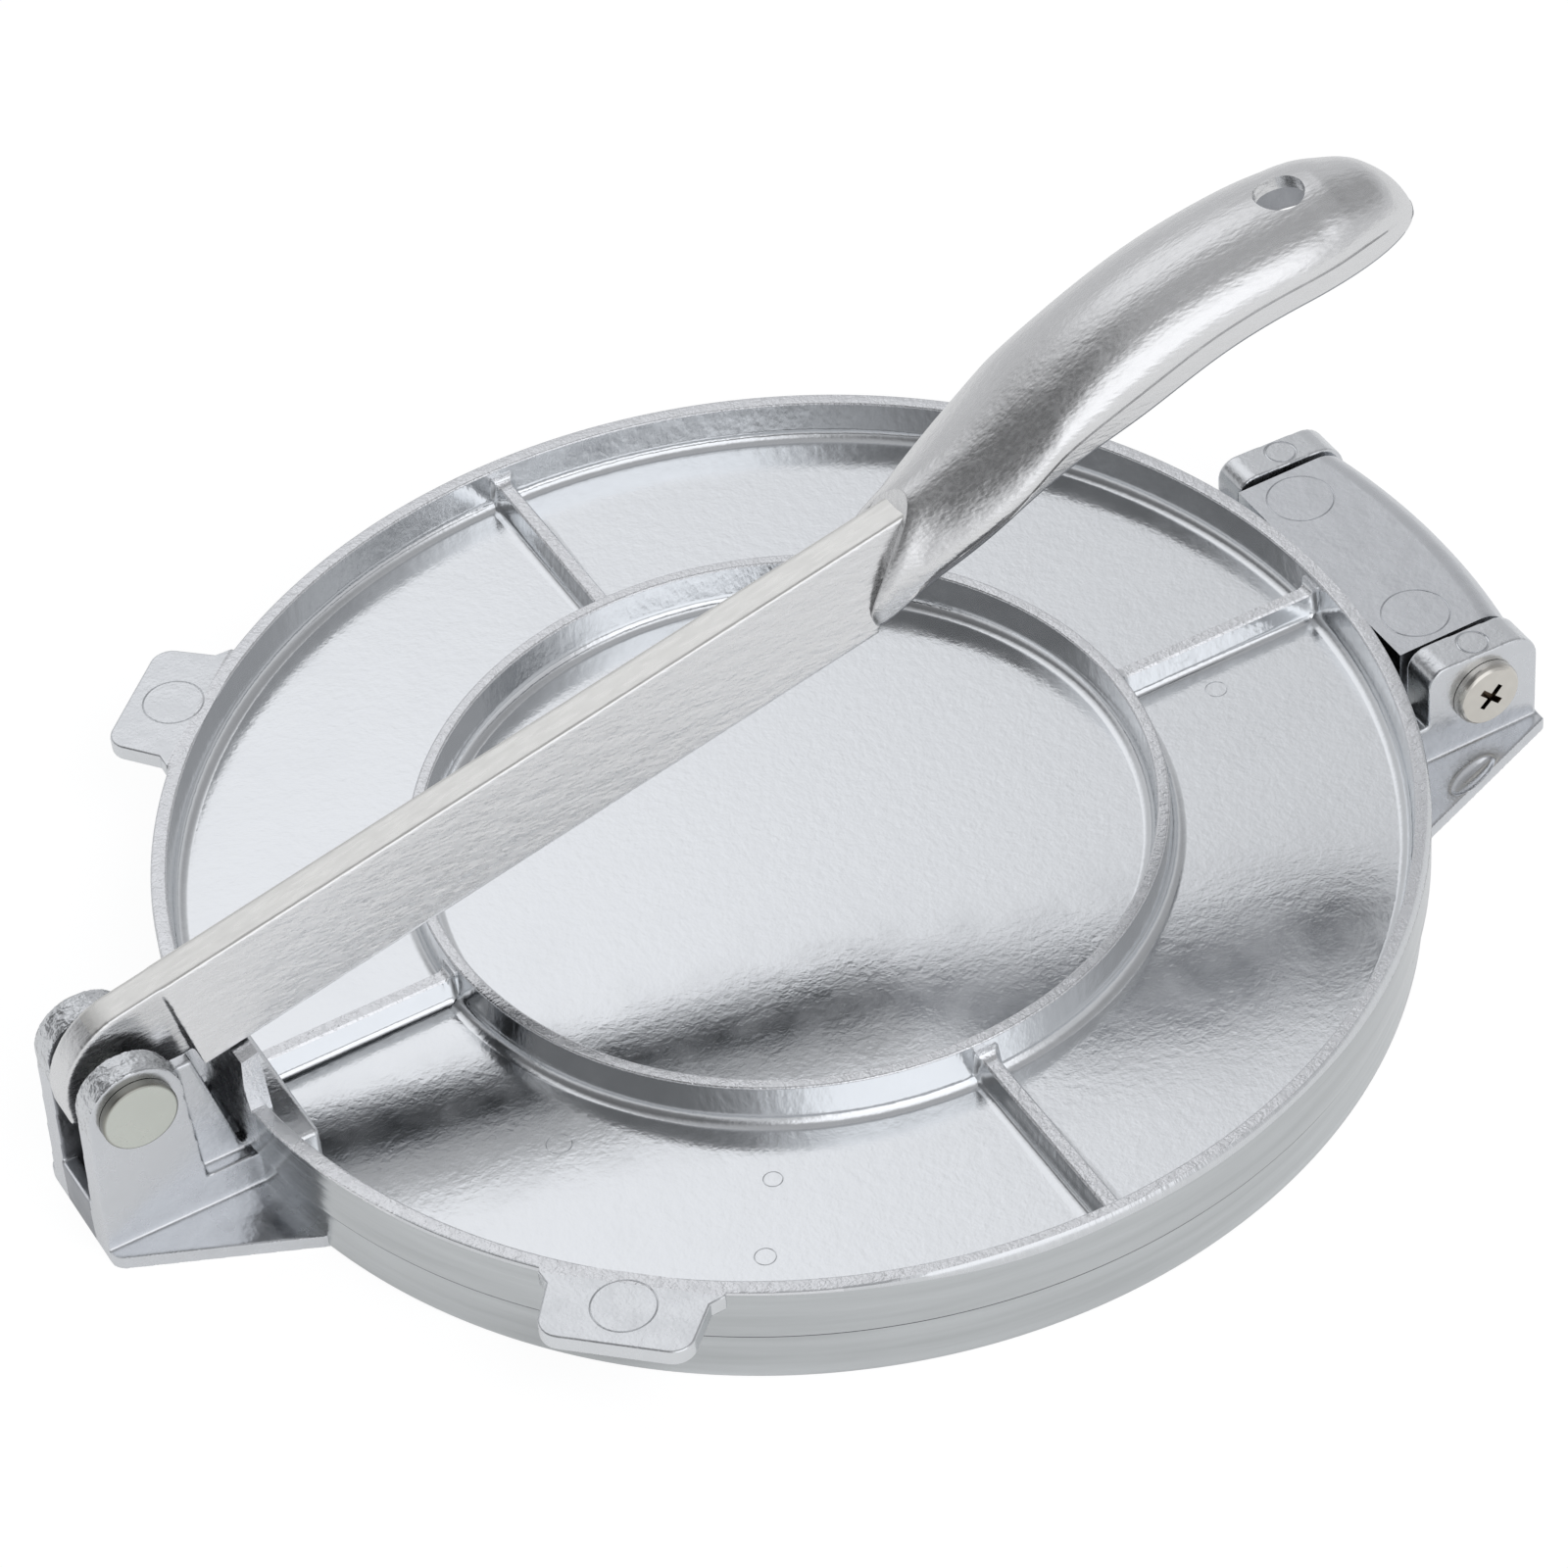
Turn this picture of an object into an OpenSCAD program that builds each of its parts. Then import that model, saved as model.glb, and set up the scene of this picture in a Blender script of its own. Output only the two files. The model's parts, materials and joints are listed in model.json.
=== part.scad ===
// Cast aluminium tortilla press, 8 inch plates. Origin: centre of the plates on the surface that the press
// stands on. +X runs from the lever pivot (-X end) to the plate hinge (+X end), +Z is up.

/* [Plates] */
// Diameter of the top plate over its rim
plate_d = 203.2; // [190:0.1:216]
// Diameter of the base plate
base_d = 200.8; // [188:0.1:202]
// Height of the pressing face of the base
base_h = 10.1; // [9:0.1:11]
// Gap between the two closed pressing faces
face_gap = 0.3; // [0.2:0.05:0.6]
// Thickness of the web of the top plate
web_t = 2.9; // [2.5:0.1:3.5]
// Height of the rim and ring above the web
rim_h = 7.2; // [6:0.1:9]
// Width of the rim at its top
rim_w = 2.6; // [2:0.1:3.5]
// Outer diameter of the stiffening ring
ring_d = 121.2; // [90:0.1:150]
// Width of the ring at its top
ring_w = 2; // [1.5:0.1:3]
// Fillet between the web and the rim, ring and ribs
web_fillet = 2; // [1:0.5:4]
// How much a cast wall thickens towards its foot on each side
wall_draft = 0.5; // [0.2:0.1:1]
// Number of radial ribs on the top plate
rib_count = 4; // [4:4:8]
// Height of the ribs above the web
rib_h = 4.4; // [3:0.1:5.5]
// Width of a rib at its top
rib_top_w = 2.4; // [1.5:0.1:3]
// Width of a rib at its foot
rib_foot_w = 6.4; // [4:0.1:8]
// Thickness of the outer wall of the base
base_wall = 4; // [3:0.1:6]
// Thickness of the top skin of the base
base_skin = 4; // [3:0.1:5]
// Thickness of the ribs under the base
base_rib_w = 3; // [2:0.1:5]

/* [Finger tabs] */
// Angle of the tabs from the plate hinge
tab_angle = 132.8; // [110:0.1:150]
// Width of a tab at its outer edge
tab_w = 23.4; // [12:0.1:30]
// Width that each side of a tab gains by its root
tab_flare = 0.8; // [0:0.1:6]
// How far a tab stands out of the rim
tab_reach = 11.4; // [6:0.1:18]
// Thickness of a tab
tab_t = 3; // [2:0.1:5]
// Corner radius of a tab
tab_corner = 3.2; // [1:0.1:5]

/* [Plate hinge] */
// Distance of the hinge axis outside the rim
hinge_reach = 9.9; // [9:0.1:12]
// Depth of the hinge axis below the top of the lug
hinge_drop = 7.5; // [6.5:0.1:8]
// Diameter of the hinge pin
hinge_pin_d = 6; // [5:0.1:7]
// Width of the lug of the top plate
lug_w = 48; // [36:0.5:60]
// How far the lug reaches past the hinge axis
lug_over = 12.3; // [10:0.1:12.6]
// Radius of the rounded outer edge of the lug
lug_round = 5.5; // [3:0.1:6]
// Wall thickness of the lug
lug_wall = 3; // [2:0.1:4]
// Radius of the bosses inside the lug
lug_boss_r = 6; // [5:0.1:6.8]
// Width of the bosses inside the lug
lug_boss_w = 5; // [3:0.1:8]
// Thickness of a hinge ear
hinge_ear_t = 6.5; // [5:0.1:9]
// Side gap between the lug and a hinge ear
lug_gap = 1; // [0.3:0.1:2]
// How far a hinge ear rises above the top of the lug
ear_rise = 0.9; // [0.2:0.1:2]
// How far a hinge ear reaches past the hinge axis
ear_over = 10.4; // [8:0.1:12]
// How far a hinge ear reaches back from the hinge axis
ear_back = 10.6; // [9:0.1:10.8]
// Corner radius of a hinge ear on its inner side
ear_corner = 3.5; // [2:0.1:5]
// Corner radius of a hinge ear on its outer side
ear_nose = 5; // [3:0.1:6]
// How far the top of a hinge ear falls towards its outer side
ear_fall = 1; // [0:0.1:2.5]
// Thickness of the foot flanges of the base
flange_t = 2.5; // [1.5:0.1:4]
// How far the flange at the hinge spreads along the rim
hinge_flange_w = 45; // [38:0.5:55]

/* [Lever clevis] */
// Distance of the lever axis outside the rim
pivot_reach = 16.2; // [15.5:0.1:20]
// Height of the lever axis above the table
pivot_h = 28.7; // [27:0.1:32]
// Diameter of the lever pin
lever_pin_d = 6; // [5:0.1:7]
// Radius of the round top of a clevis ear
clevis_r = 8; // [7:0.1:8.6]
// Thickness of a clevis ear
clevis_ear_t = 5; // [4:0.1:7]
// Width of the slot between the clevis ears
clevis_slot = 10; // [8:0.1:12]
// Height of the floor of the slot
slot_floor = 9; // [5:0.1:10]
// How far the foot of an ear spreads on its outer side
clevis_foot = 9; // [8:0.1:12]
// How far the round top of an ear runs on towards the plates
clevis_run = 1.4; // [0.8:0.1:2]
// Height of the walls between the clevis ears and the base
clevis_wall_h = 8.8; // [8:0.1:9]
// How far the flange stands out beside an ear at its outer end
clevis_flange_out = 2; // [0.5:0.1:4]
// Thickness of the gusset plate behind a clevis ear
gusset_t = 2.5; // [2:0.1:4]
// Gap between the gusset and the rim of the top plate
gusset_gap = 0.5; // [0.4:0.1:2]
// How far the edge of the gusset leans away from the rim
gusset_lean = 4.5; // [2:0.1:5]
// How far the gusset rises above the lever axis
gusset_rise = 2.3; // [1:0.1:5]
// How far the flange at the clevis spreads along the rim
clevis_flange_w = 26; // [18:0.5:36]

/* [Pressing pad] */
// Width of the pad under the lever
pad_w = 20.8; // [16:0.1:30]
// How far the pad slopes out to its foot on each side
pad_slope = 1.6; // [0.5:0.1:4]
// Thickness of the pad, with the rim it stands on
pad_t = 4.2; // [2.8:0.1:5]
// How far the outer face of the pad leans in
pad_lean = 1.1; // [0.2:0.1:1.6]
// Gap between the pad and the resting lever
pad_gap = 0.35; // [0.3:0.05:0.6]
// Width of the block that backs the pad
block_w = 42; // [30:0.5:60]
// How far the block reaches in from the rim
block_in = 8.3; // [6:0.1:12]

/* [Lever] */
// Angle of the resting lever above the table
lever_tilt = 12.8; // [11:0.1:14]
// Height of the top strip above the lever axis
strip_rise = 12; // [11:0.1:13]
// Depth of the bottom edge below the lever axis
heel_drop = 3.1; // [2:0.1:3.5]
// Width of the top strip and of the knuckle
strip_w = 5.6; // [4:0.1:7]
// Width of the lever at its bottom edge
lever_w = 14; // [12:0.1:18]
// Wall thickness of the lever
lever_wall = 2.6; // [2:0.1:3.2]
// Distance from the lever axis to the shoulder
shoulder = 12.6; // [11.5:0.1:14]
// Length of the solid heel behind the shoulder
heel_len = 8; // [5:0.5:20]
// Radius of the knuckle around the pin
knuckle_r = 8.8; // [7.5:0.1:9.2]
// Radius of the nose in front of the pin
nose_r = 14; // [12:0.1:15]
// Distance from the lever axis to the start of the grip
grip_start = 134; // [110:1:150]
// How far the top strip runs on over the start of the grip
strip_run = 10; // [4:0.5:14]
// Length of the grip
grip_len = 109; // [100:1:120]
// Width of the grip
grip_w = 25; // [20:0.1:32]
// Height of the crown of the grip above the lever axis
crown_rise = 24.6; // [20:0.1:30]
// Radius that the bottom rim of the grip follows
grip_arc_r = 138.8; // [120:0.1:180]
// Distance from the start of the grip to the highest point of its rim
grip_arc_in = 67; // [60:1:80]
// Height of the rim of the grip above the lever axis at its highest point
grip_arc_top = 14.5; // [12:0.1:18]
// Height of the tip of the grip above the lever axis
tip_rise = 7.4; // [5:0.1:10]
// Diameter of the hanging hole
hang_d = 9.5; // [5:0.1:12]
// Distance of the hanging hole from the tip of the grip
hang_in = 22; // [18:0.1:32]

/* [Fasteners] */
// Running clearance between a pin and its bore
pin_clear = 0.05; // [0.02:0.01:0.1]
// Clearance between a pin head and the ear that it lies against
head_clear = 0.1; // [0.05:0.05:0.3]
// Diameter of the flat heads of the lever pin
lever_head_d = 12.4; // [10:0.1:14]
// Diameter of the heads of the hinge pin
hinge_head_d = 11.7; // [10:0.1:14]
// Thickness of the flat heads
head_t = 1.5; // [1:0.1:2.5]
// Thickness of the domed screw heads
dome_t = 2.2; // [1.6:0.1:3]
// Diameter of the screw threads
thread_d = 3.6; // [3:0.1:4]
// Clearance between a screw thread and its barrel
thread_clear = 0.05; // [0.02:0.01:0.1]
// Length of thread held in a barrel
thread_len = 9; // [5:0.5:14]
// Width of the cross recess
recess_w = 1.1; // [0.6:0.1:1.6]
// Span of the cross recess
recess_span = 5; // [3:0.1:6]
// Depth of the cross recess
recess_depth = 1.2; // [0.6:0.1:1.5]

/* [Hidden] */
$fn = 96;
eps = 0.02;
plate_r = plate_d / 2;
base_r = base_d / 2;
ring_r = ring_d / 2;
web_z0 = base_h + face_gap;
web_z1 = web_z0 + web_t;
rim_z = web_z1 + rim_h;
rim_edge = 0.5;
ear_root = 6;
tab_root = 1.2;
flange_lip = 0.4;
flange_corner = 2;
hinge_x = plate_r + hinge_reach;
hinge_z = rim_z - hinge_drop;
lug_r = hinge_x + lug_over;
ear_y0 = lug_w / 2 + lug_gap;
ear_y1 = ear_y0 + hinge_ear_t;
ear_z = rim_z + ear_rise;
pivot_x = -plate_r - pivot_reach;
clevis_y0 = clevis_slot / 2;
clevis_y1 = clevis_y0 + clevis_ear_t;
grip_tip = grip_start + grip_len;
// Shares of the grip's length: where it reaches full width, its rounded tip, and its crown line
flare_share = 0.42;
tip_share = 0.24;
peak_share = 0.17;
rise_share = 0.41;
fall_share = 0.46;
fall_angle = 170;
pad_n = -heel_drop - pad_gap;
hinge_bore_r = hinge_pin_d / 2 + pin_clear;
lever_bore_r = lever_pin_d / 2 + pin_clear;
cast_colour = [0.80, 0.81, 0.82];
plated_colour = [0.72, 0.73, 0.68];

// Points of an arc from angle a0 to angle a1 about [cx, cy]
function arc(cx, cy, r, a0, a1, steps = 8) =
    [for (i = [0:steps]) let(a = a0 + (a1 - a0) * i / steps) [cx + r * cos(a), cy + r * sin(a)]];

// A cubic curve between four control points at parameter u
function curve(p0, p1, p2, p3, u) =
    pow(1 - u, 3) * p0 + 3 * pow(1 - u, 2) * u * p1 + 3 * (1 - u) * u * u * p2 + pow(u, 3) * p3;

// Moves lever coordinates (x along the lever, z square to it, from the lever axis) to the resting place
module at_lever() {
    translate([pivot_x, 0, pivot_h]) rotate([0, -lever_tilt, 0]) children();
}

// Extrudes an outline drawn in XZ by a width centred on y = y_mid
module along_y(width, y_mid = 0) {
    translate([0, y_mid + width / 2, 0]) rotate([90, 0, 0]) linear_extrude(width) children();
}

module both_sides() {
    children();
    mirror([0, 1, 0]) children();
}

// A cylinder along Y from y0 to y1
module y_rod(r, y0, y1) {
    translate([0, y0, 0]) rotate([-90, 0, 0]) cylinder(r = r, h = y1 - y0);
}

// ---- Base plate ----

module base_disc() {
    rotate_extrude($fn = 180) polygon(concat([[0, base_h - base_skin], [0, base_h]],
        [[base_r - rim_edge, base_h], [base_r, base_h - rim_edge], [base_r, 1], [base_r - 1, 0]],
        [[base_r - base_wall, 0], [base_r - base_wall, base_h - base_skin]]));
}

// Ring and ribs that stiffen the base from below
module base_stiffeners() {
    rib_z = base_h - base_skin + eps;
    difference() {
        cylinder(r = ring_r, h = rib_z, $fn = 180);
        translate([0, 0, -eps]) cylinder(r = ring_r - base_rib_w, h = rib_z + 2 * eps, $fn = 180);
    }
    for (i = [0:3]) rotate(45 + i * 90)
        translate([-base_rib_w / 2, -base_rib_w / 2, 0]) cube([base_r - base_wall / 2, base_rib_w, rib_z]);
}

// Outline of a clevis ear in XZ
module clevis_ear_outline() {
    foot_x0 = pivot_x - clevis_foot;
    foot_x1 = pivot_x + clevis_r + clevis_run;
    polygon(concat([[foot_x1, 0]], arc(pivot_x, pivot_h, clevis_r, 12, 172, 24),
        [[foot_x0, flange_t], [foot_x0, 0]]));
}

// Thin plate that joins the ear to the rim side of the base
module gusset_outline() {
    low_x = -plate_r - gusset_gap - rim_edge;
    root_x = -base_r + base_wall / 2;
    polygon([[pivot_x, clevis_wall_h - 1], [root_x, clevis_wall_h - 1], [root_x, base_h - 0.1],
        [low_x, base_h - 0.1], [low_x - gusset_lean, pivot_h + gusset_rise],
        [pivot_x + clevis_r / 2, pivot_h + gusset_rise], [pivot_x, pivot_h]]);
}

module clevis() {
    wall_x1 = -base_r + base_wall / 2;
    corner_x = pivot_x - clevis_foot + flange_corner;
    corner_y = clevis_y1 + clevis_flange_out - flange_corner;
    both_sides() {
        along_y(clevis_ear_t, (clevis_y0 + clevis_y1) / 2) clevis_ear_outline();
        along_y(gusset_t, clevis_y0 + gusset_t / 2) gusset_outline();
        translate([pivot_x, clevis_y0, 0]) cube([wall_x1 - pivot_x, clevis_ear_t, clevis_wall_h]);
    }
    // Floor of the slot, with its end wall
    translate([pivot_x - clevis_foot, -clevis_y0 - eps, 0])
        cube([lever_wall, clevis_slot + 2 * eps, slot_floor]);
    linear_extrude(flange_t) polygon(concat(
        arc(corner_x, corner_y, flange_corner, 180, 110, 6), [[-base_r + base_wall, clevis_flange_w]],
        [[-base_r + base_wall, -clevis_flange_w]], arc(corner_x, -corner_y, flange_corner, 250, 180, 6)));
}

// Outline of a hinge ear in XZ
module hinge_ear_outline() {
    x0 = hinge_x - ear_back;
    x1 = hinge_x + ear_over;
    polygon(concat([[x0 - ear_root, 0], [x1 + flange_lip, 0], [x1 + flange_lip, flange_t]],
        arc(x1 - ear_nose, ear_z - ear_fall - ear_nose, ear_nose, 0, 84, 8),
        arc(x0 + ear_corner, ear_z - ear_corner, ear_corner, 84, 180, 10),
        [[x0, base_h], [x0 - ear_root, base_h]]));
}

module hinge_ears() {
    flange_x = hinge_x + ear_over + flange_lip;
    rim_x = sqrt(pow(base_r, 2) - pow(hinge_flange_w, 2));
    both_sides() {
        along_y(hinge_ear_t, (ear_y0 + ear_y1) / 2) hinge_ear_outline();
        linear_extrude(flange_t) polygon([[rim_x - base_wall, ear_y0], [flange_x, ear_y0],
            [flange_x, ear_y1 + flange_corner], [rim_x + base_wall / 2, hinge_flange_w],
            [rim_x - base_wall, hinge_flange_w - base_wall]]);
    }
}

module base_plate() color(cast_colour) difference() {
    union() {
        base_disc();
        base_stiffeners();
        clevis();
        hinge_ears();
    }
    translate([pivot_x, 0, pivot_h]) y_rod(lever_bore_r, -clevis_y1 - 1, clevis_y1 + 1);
    translate([hinge_x, 0, hinge_z]) y_rod(hinge_bore_r, -ear_y1 - 1, ear_y1 + 1);
}

// ---- Top plate ----

// Half section of web, ring and rim
module top_profile() {
    f = web_fillet;
    rim_in = plate_r - rim_w;
    rim_foot = rim_in - wall_draft;
    ring_in = ring_r - ring_w;
    polygon(concat([[0, web_z0], [plate_r - rim_edge, web_z0], [plate_r, web_z0 + rim_edge],
            [plate_r, rim_z - rim_edge], [plate_r - rim_edge, rim_z], [rim_in, rim_z]],
        arc(rim_foot - f, web_z1 + f, f, 0, -90, 6),
        arc(ring_r + wall_draft + f, web_z1 + f, f, 270, 180, 6), [[ring_r, rim_z], [ring_in, rim_z]],
        arc(ring_in - wall_draft - f, web_z1 + f, f, 0, -90, 6), [[0, web_z1]]));
}

// Radial ribs between the ring and the rim
module top_ribs() {
    for (i = [0:rib_count - 1]) rotate(i * 360 / rib_count)
        translate([ring_r - ring_w / 2, 0, web_z1 - eps]) rotate([90, 0, 90])
            linear_extrude(plate_r - rim_w / 2 - ring_r + ring_w / 2)
                polygon([[-rib_foot_w / 2, 0], [rib_foot_w / 2, 0], [rib_top_w / 2 + wall_draft, rib_h / 4],
                    [rib_top_w / 2, rib_h], [-rib_top_w / 2, rib_h],
                    [-rib_top_w / 2 - wall_draft, rib_h / 4]]);
}

// Outline of a tab, reaching out along +X from the rim
module tab_outline() {
    x1 = plate_r + tab_reach - tab_corner;
    w = tab_w / 2;
    root_y = w + tab_flare + tab_root;
    root_x = sqrt(pow(plate_r - rim_edge, 2) - pow(root_y, 2));
    polygon(concat([[root_x - rim_w / 2, -root_y]],
        arc(root_x + tab_root, -root_y, tab_root, 180, 92, 5),
        arc(x1, tab_corner - w, tab_corner, -88, 0, 6), arc(x1, w - tab_corner, tab_corner, 0, 88, 6),
        arc(root_x + tab_root, root_y, tab_root, -92, -180, 5),
        [[root_x - rim_w / 2, root_y]]));
}

// Lug of the plate hinge: a hollow box with a rounded outer edge and a boss at each end for the pin
module hinge_lug() {
    r_in = plate_r - rim_w / 2;
    skin_z = rim_z - lug_wall;
    intersection() {
        rotate_extrude($fn = 180) polygon(concat([[r_in, skin_z], [lug_r - lug_wall, skin_z],
            [lug_r - lug_wall, hinge_z - 4], [lug_r, hinge_z - 4]],
            arc(lug_r - lug_round, rim_z - lug_round, lug_round, 0, 90, 10), [[r_in, rim_z]]));
        translate([0, -lug_w / 2, 0]) cube([2 * plate_r, lug_w, 2 * rim_z]);
    }
    both_sides() translate([hinge_x, 0, hinge_z]) {
        y_rod(lug_boss_r, lug_w / 2 - lug_boss_w, lug_w / 2);
        translate([-lug_boss_r, lug_w / 2 - lug_boss_w, 0])
            cube([2 * lug_boss_r, lug_boss_w, hinge_drop - lug_wall + eps]);
    }
}

// Raised pad that the lever bears on, sloped like the resting lever, and the block that backs it
module pressing_pad() {
    intersection() {
        along_y(pad_w + 4 * pad_slope) difference() {
            translate([-plate_r, 0]) polygon([[0, web_z1], [pad_t, web_z1], [pad_t, rim_z + 30],
                [pad_lean, rim_z + 30], [pad_lean, rim_z + 8], [0, rim_z]]);
            translate([pivot_x, pivot_h]) rotate(lever_tilt) translate([0, pad_n]) square([60, 60]);
        }
        rotate([90, 0, 90]) translate([0, 0, -plate_r - 1]) linear_extrude(pad_t + 10)
            polygon([[-pad_w / 2 - pad_slope, web_z1], [pad_w / 2 + pad_slope, web_z1],
                [pad_w / 2 + pad_slope, rim_z], [pad_w / 2, rim_z + 8], [pad_w / 2, rim_z + 30],
                [-pad_w / 2, rim_z + 30], [-pad_w / 2, rim_z + 8], [-pad_w / 2 - pad_slope, rim_z]]);
        cylinder(r = plate_r, h = 100, $fn = 180);
    }
    intersection() {
        translate([-plate_r, -block_w / 2, web_z1 - eps]) cube([block_in, block_w, rim_h + eps]);
        cylinder(r = plate_r - rim_w / 2, h = 100, $fn = 180);
    }
}

module top_plate() color(cast_colour) difference() {
    union() {
        rotate_extrude($fn = 180) top_profile();
        top_ribs();
        for (side = [-1, 1]) rotate(side * tab_angle) translate([0, 0, rim_z - tab_t])
            linear_extrude(tab_t) tab_outline();
        hinge_lug();
        pressing_pad();
    }
    translate([hinge_x, 0, hinge_z]) y_rod(hinge_bore_r, -lug_w / 2 - 1, lug_w / 2 + 1);
}

// ---- Lever ----

// Height of the bottom rim of the grip at distance s from the lever axis
function grip_rim(s) =
    let(c = grip_start + grip_arc_in)
    max(-heel_drop, grip_arc_top - grip_arc_r + sqrt(pow(grip_arc_r, 2) - pow(s - c, 2)));

// Half width of the grip at distance s
function grip_half(s) =
    let(u = min(1, max(0, (s - grip_start) / (flare_share * grip_len))),
        full = lever_w / 2 + (grip_w - lever_w) / 2 * u * u * (3 - 2 * u),
        tip_s = grip_tip - tip_share * grip_len,
        v = max(0, (s - tip_s) / (grip_tip - tip_s)))
    full * sqrt(max(0, 1 - v * v));

// The crown line of the grip: a curve up to the peak, then a quarter ellipse down to the tip
function crown_point(u, steps = 18) =
    let(peak = [grip_tip - peak_share * grip_len, crown_rise],
        start = [grip_start - strip_run / 2, strip_rise],
        fall = [cos(fall_angle), sin(fall_angle)])
    u <= 1 ? curve(start, start + [rise_share * grip_len, 0], peak + fall_share * grip_len * fall, peak, u)
        : let(a = 90 * (u - 1))
            [peak[0] + (grip_tip - 0.05 - peak[0]) * sin(a), tip_rise + (crown_rise - tip_rise) * cos(a)];

// One cross-section of the grip: a half ellipse standing on a flat bottom
function grip_section(s, top, inset, drop, n = 20) =
    let(w = max(0.3, grip_half(s) - inset), z0 = grip_rim(s), h = max(0.4, top - z0 - inset))
    concat([[s, w, z0 - drop]],
        [for (i = [0:n]) [s, w * cos(180 * i / n), z0 + h * sin(180 * i / n)]], [[s, -w, z0 - drop]]);

// Closed body through a list of cross-sections that have equal numbers of points
module loft(sections) {
    n = len(sections[0]);
    m = len(sections);
    polyhedron(points = [for (sec = sections) each sec],
        faces = concat([[for (i = [0:n - 1]) i]], [[for (i = [n - 1:-1:0]) (m - 1) * n + i]],
            [for (j = [0:m - 2]) for (i = [0:n - 1]) let(k = (i + 1) % n)
                each [[j * n + i, (j + 1) * n + i, (j + 1) * n + k],
                      [j * n + i, (j + 1) * n + k, j * n + k]]]),
        convexity = 4);
}

module grip_outer() {
    us = concat([for (i = [0:14]) i / 14], [for (i = [1:9]) 1 + i / 9 * 0.985]);
    loft([for (u = us) let(p = crown_point(u)) grip_section(p[0], p[1], 0, 0.01)]);
}

module grip_hollow() {
    t = lever_wall;
    us = concat([for (i = [0:14]) i / 14], [for (i = [1:5]) 1 + i / 5 * 0.6]);
    loft([for (u = us) let(p = crown_point(u)) grip_section(p[0], p[1], t, 12)]);
}

// Channel under the straight part of the lever
module lever_hollow() {
    low = lever_w / 2 - lever_wall;
    high = max(0.4, low - 0.85 * (lever_w - strip_w) / 2);
    top = strip_rise - lever_wall;
    translate([shoulder + heel_len, 0, 0]) rotate([90, 0, 90])
        linear_extrude(grip_start - shoulder - heel_len)
            polygon([[-low, -heel_drop - 10], [low, -heel_drop - 10], [low, -heel_drop], [high, top],
                [-high, top], [-low, -heel_drop]]);
}

// Straight part of the lever, from the shoulder into the grip, with a sloping end
module lever_body() {
    slant = (lever_w - strip_w) / 2;
    intersection() {
        translate([shoulder, 0, 0]) rotate([90, 0, 90]) linear_extrude(grip_start + strip_run)
            polygon([[-lever_w / 2, -heel_drop], [lever_w / 2, -heel_drop],
                [lever_w / 2 - slant, strip_rise], [slant - lever_w / 2, strip_rise]]);
        along_y(2 * lever_w) polygon([[shoulder, -heel_drop], [grip_start + 1, -heel_drop],
            [grip_start + strip_run, strip_rise], [shoulder, strip_rise]]);
    }
}

// Round eye that turns between the clevis ears
module knuckle() {
    nose_x = 0.35 * nose_r;
    along_y(strip_w) union() {
        circle(r = knuckle_r);
        difference() {
            translate([nose_x, strip_rise - nose_r]) circle(r = nose_r);
            translate([-50, -50 - heel_drop]) square([100, 50]);
            translate([shoulder + 1, -50]) square([50, 100]);
        }
        translate([nose_x, -heel_drop]) square([shoulder + 1 - nose_x, strip_rise + heel_drop]);
    }
}

module lever() color(cast_colour) at_lever() difference() {
    union() {
        lever_body();
        knuckle();
        grip_outer();
    }
    lever_hollow();
    grip_hollow();
    y_rod(lever_bore_r, -strip_w, strip_w);
    translate([grip_tip - hang_in, 0, 0]) cylinder(d = hang_d, h = 2 * crown_rise);
}

// ---- Fasteners ----

// Flat-headed barrel with a threaded hole in its far end: head at y0 facing -Y, shank to y1
module barrel(y0, y1, shank_d, head_d) {
    difference() {
        union() {
            y_rod(shank_d / 2, y0, y1);
            translate([0, y0 - head_t, 0]) rotate([-90, 0, 0]) rotate_extrude()
                polygon(concat([[0, 0]], arc(head_d / 2 - 0.4, 0.4, 0.4, -90, 0, 4),
                    [[head_d / 2, head_t], [0, head_t]]));
        }
        y_rod(thread_d / 2 + thread_clear, y1 - thread_len - 1, y1 + 1);
    }
}

// Domed screw: head at y1 facing +Y, thread reaching back towards -Y
module screw(y1, head_d) {
    difference() {
        union() {
            y_rod(thread_d / 2, y1 - thread_len - head_clear, y1 + eps);
            translate([0, y1, 0]) rotate([-90, 0, 0]) rotate_extrude()
                polygon(concat([[0, 0], [head_d / 2, 0], [head_d / 2, dome_t * 0.4]],
                    arc(head_d / 2 - dome_t * 0.6, dome_t * 0.4, dome_t * 0.6, 0, 60, 5), [[0, dome_t]]));
        }
        for (a = [0, 90]) translate([0, y1 + dome_t - recess_depth / 2 + eps, 0]) rotate([0, 45 + a, 0])
            cube([recess_span, recess_depth + 2 * eps, recess_w], center = true);
    }
}

module lever_pin_barrel() color(plated_colour) translate([pivot_x, 0, pivot_h])
    barrel(-clevis_y1 - head_clear, clevis_y1, lever_pin_d, lever_head_d);

module lever_pin_screw() color(plated_colour) translate([pivot_x, 0, pivot_h])
    screw(clevis_y1 + head_clear, lever_head_d);

module hinge_pin_barrel() color(plated_colour) translate([hinge_x, 0, hinge_z])
    mirror([0, 1, 0]) barrel(-ear_y1 - head_clear, ear_y1, hinge_pin_d, hinge_head_d);

module hinge_pin_screw() color(plated_colour) translate([hinge_x, 0, hinge_z])
    mirror([0, 1, 0]) screw(ear_y1 + head_clear, hinge_head_d);

base_plate();
top_plate();
lever();
lever_pin_barrel();
lever_pin_screw();
hinge_pin_barrel();
hinge_pin_screw();
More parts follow.
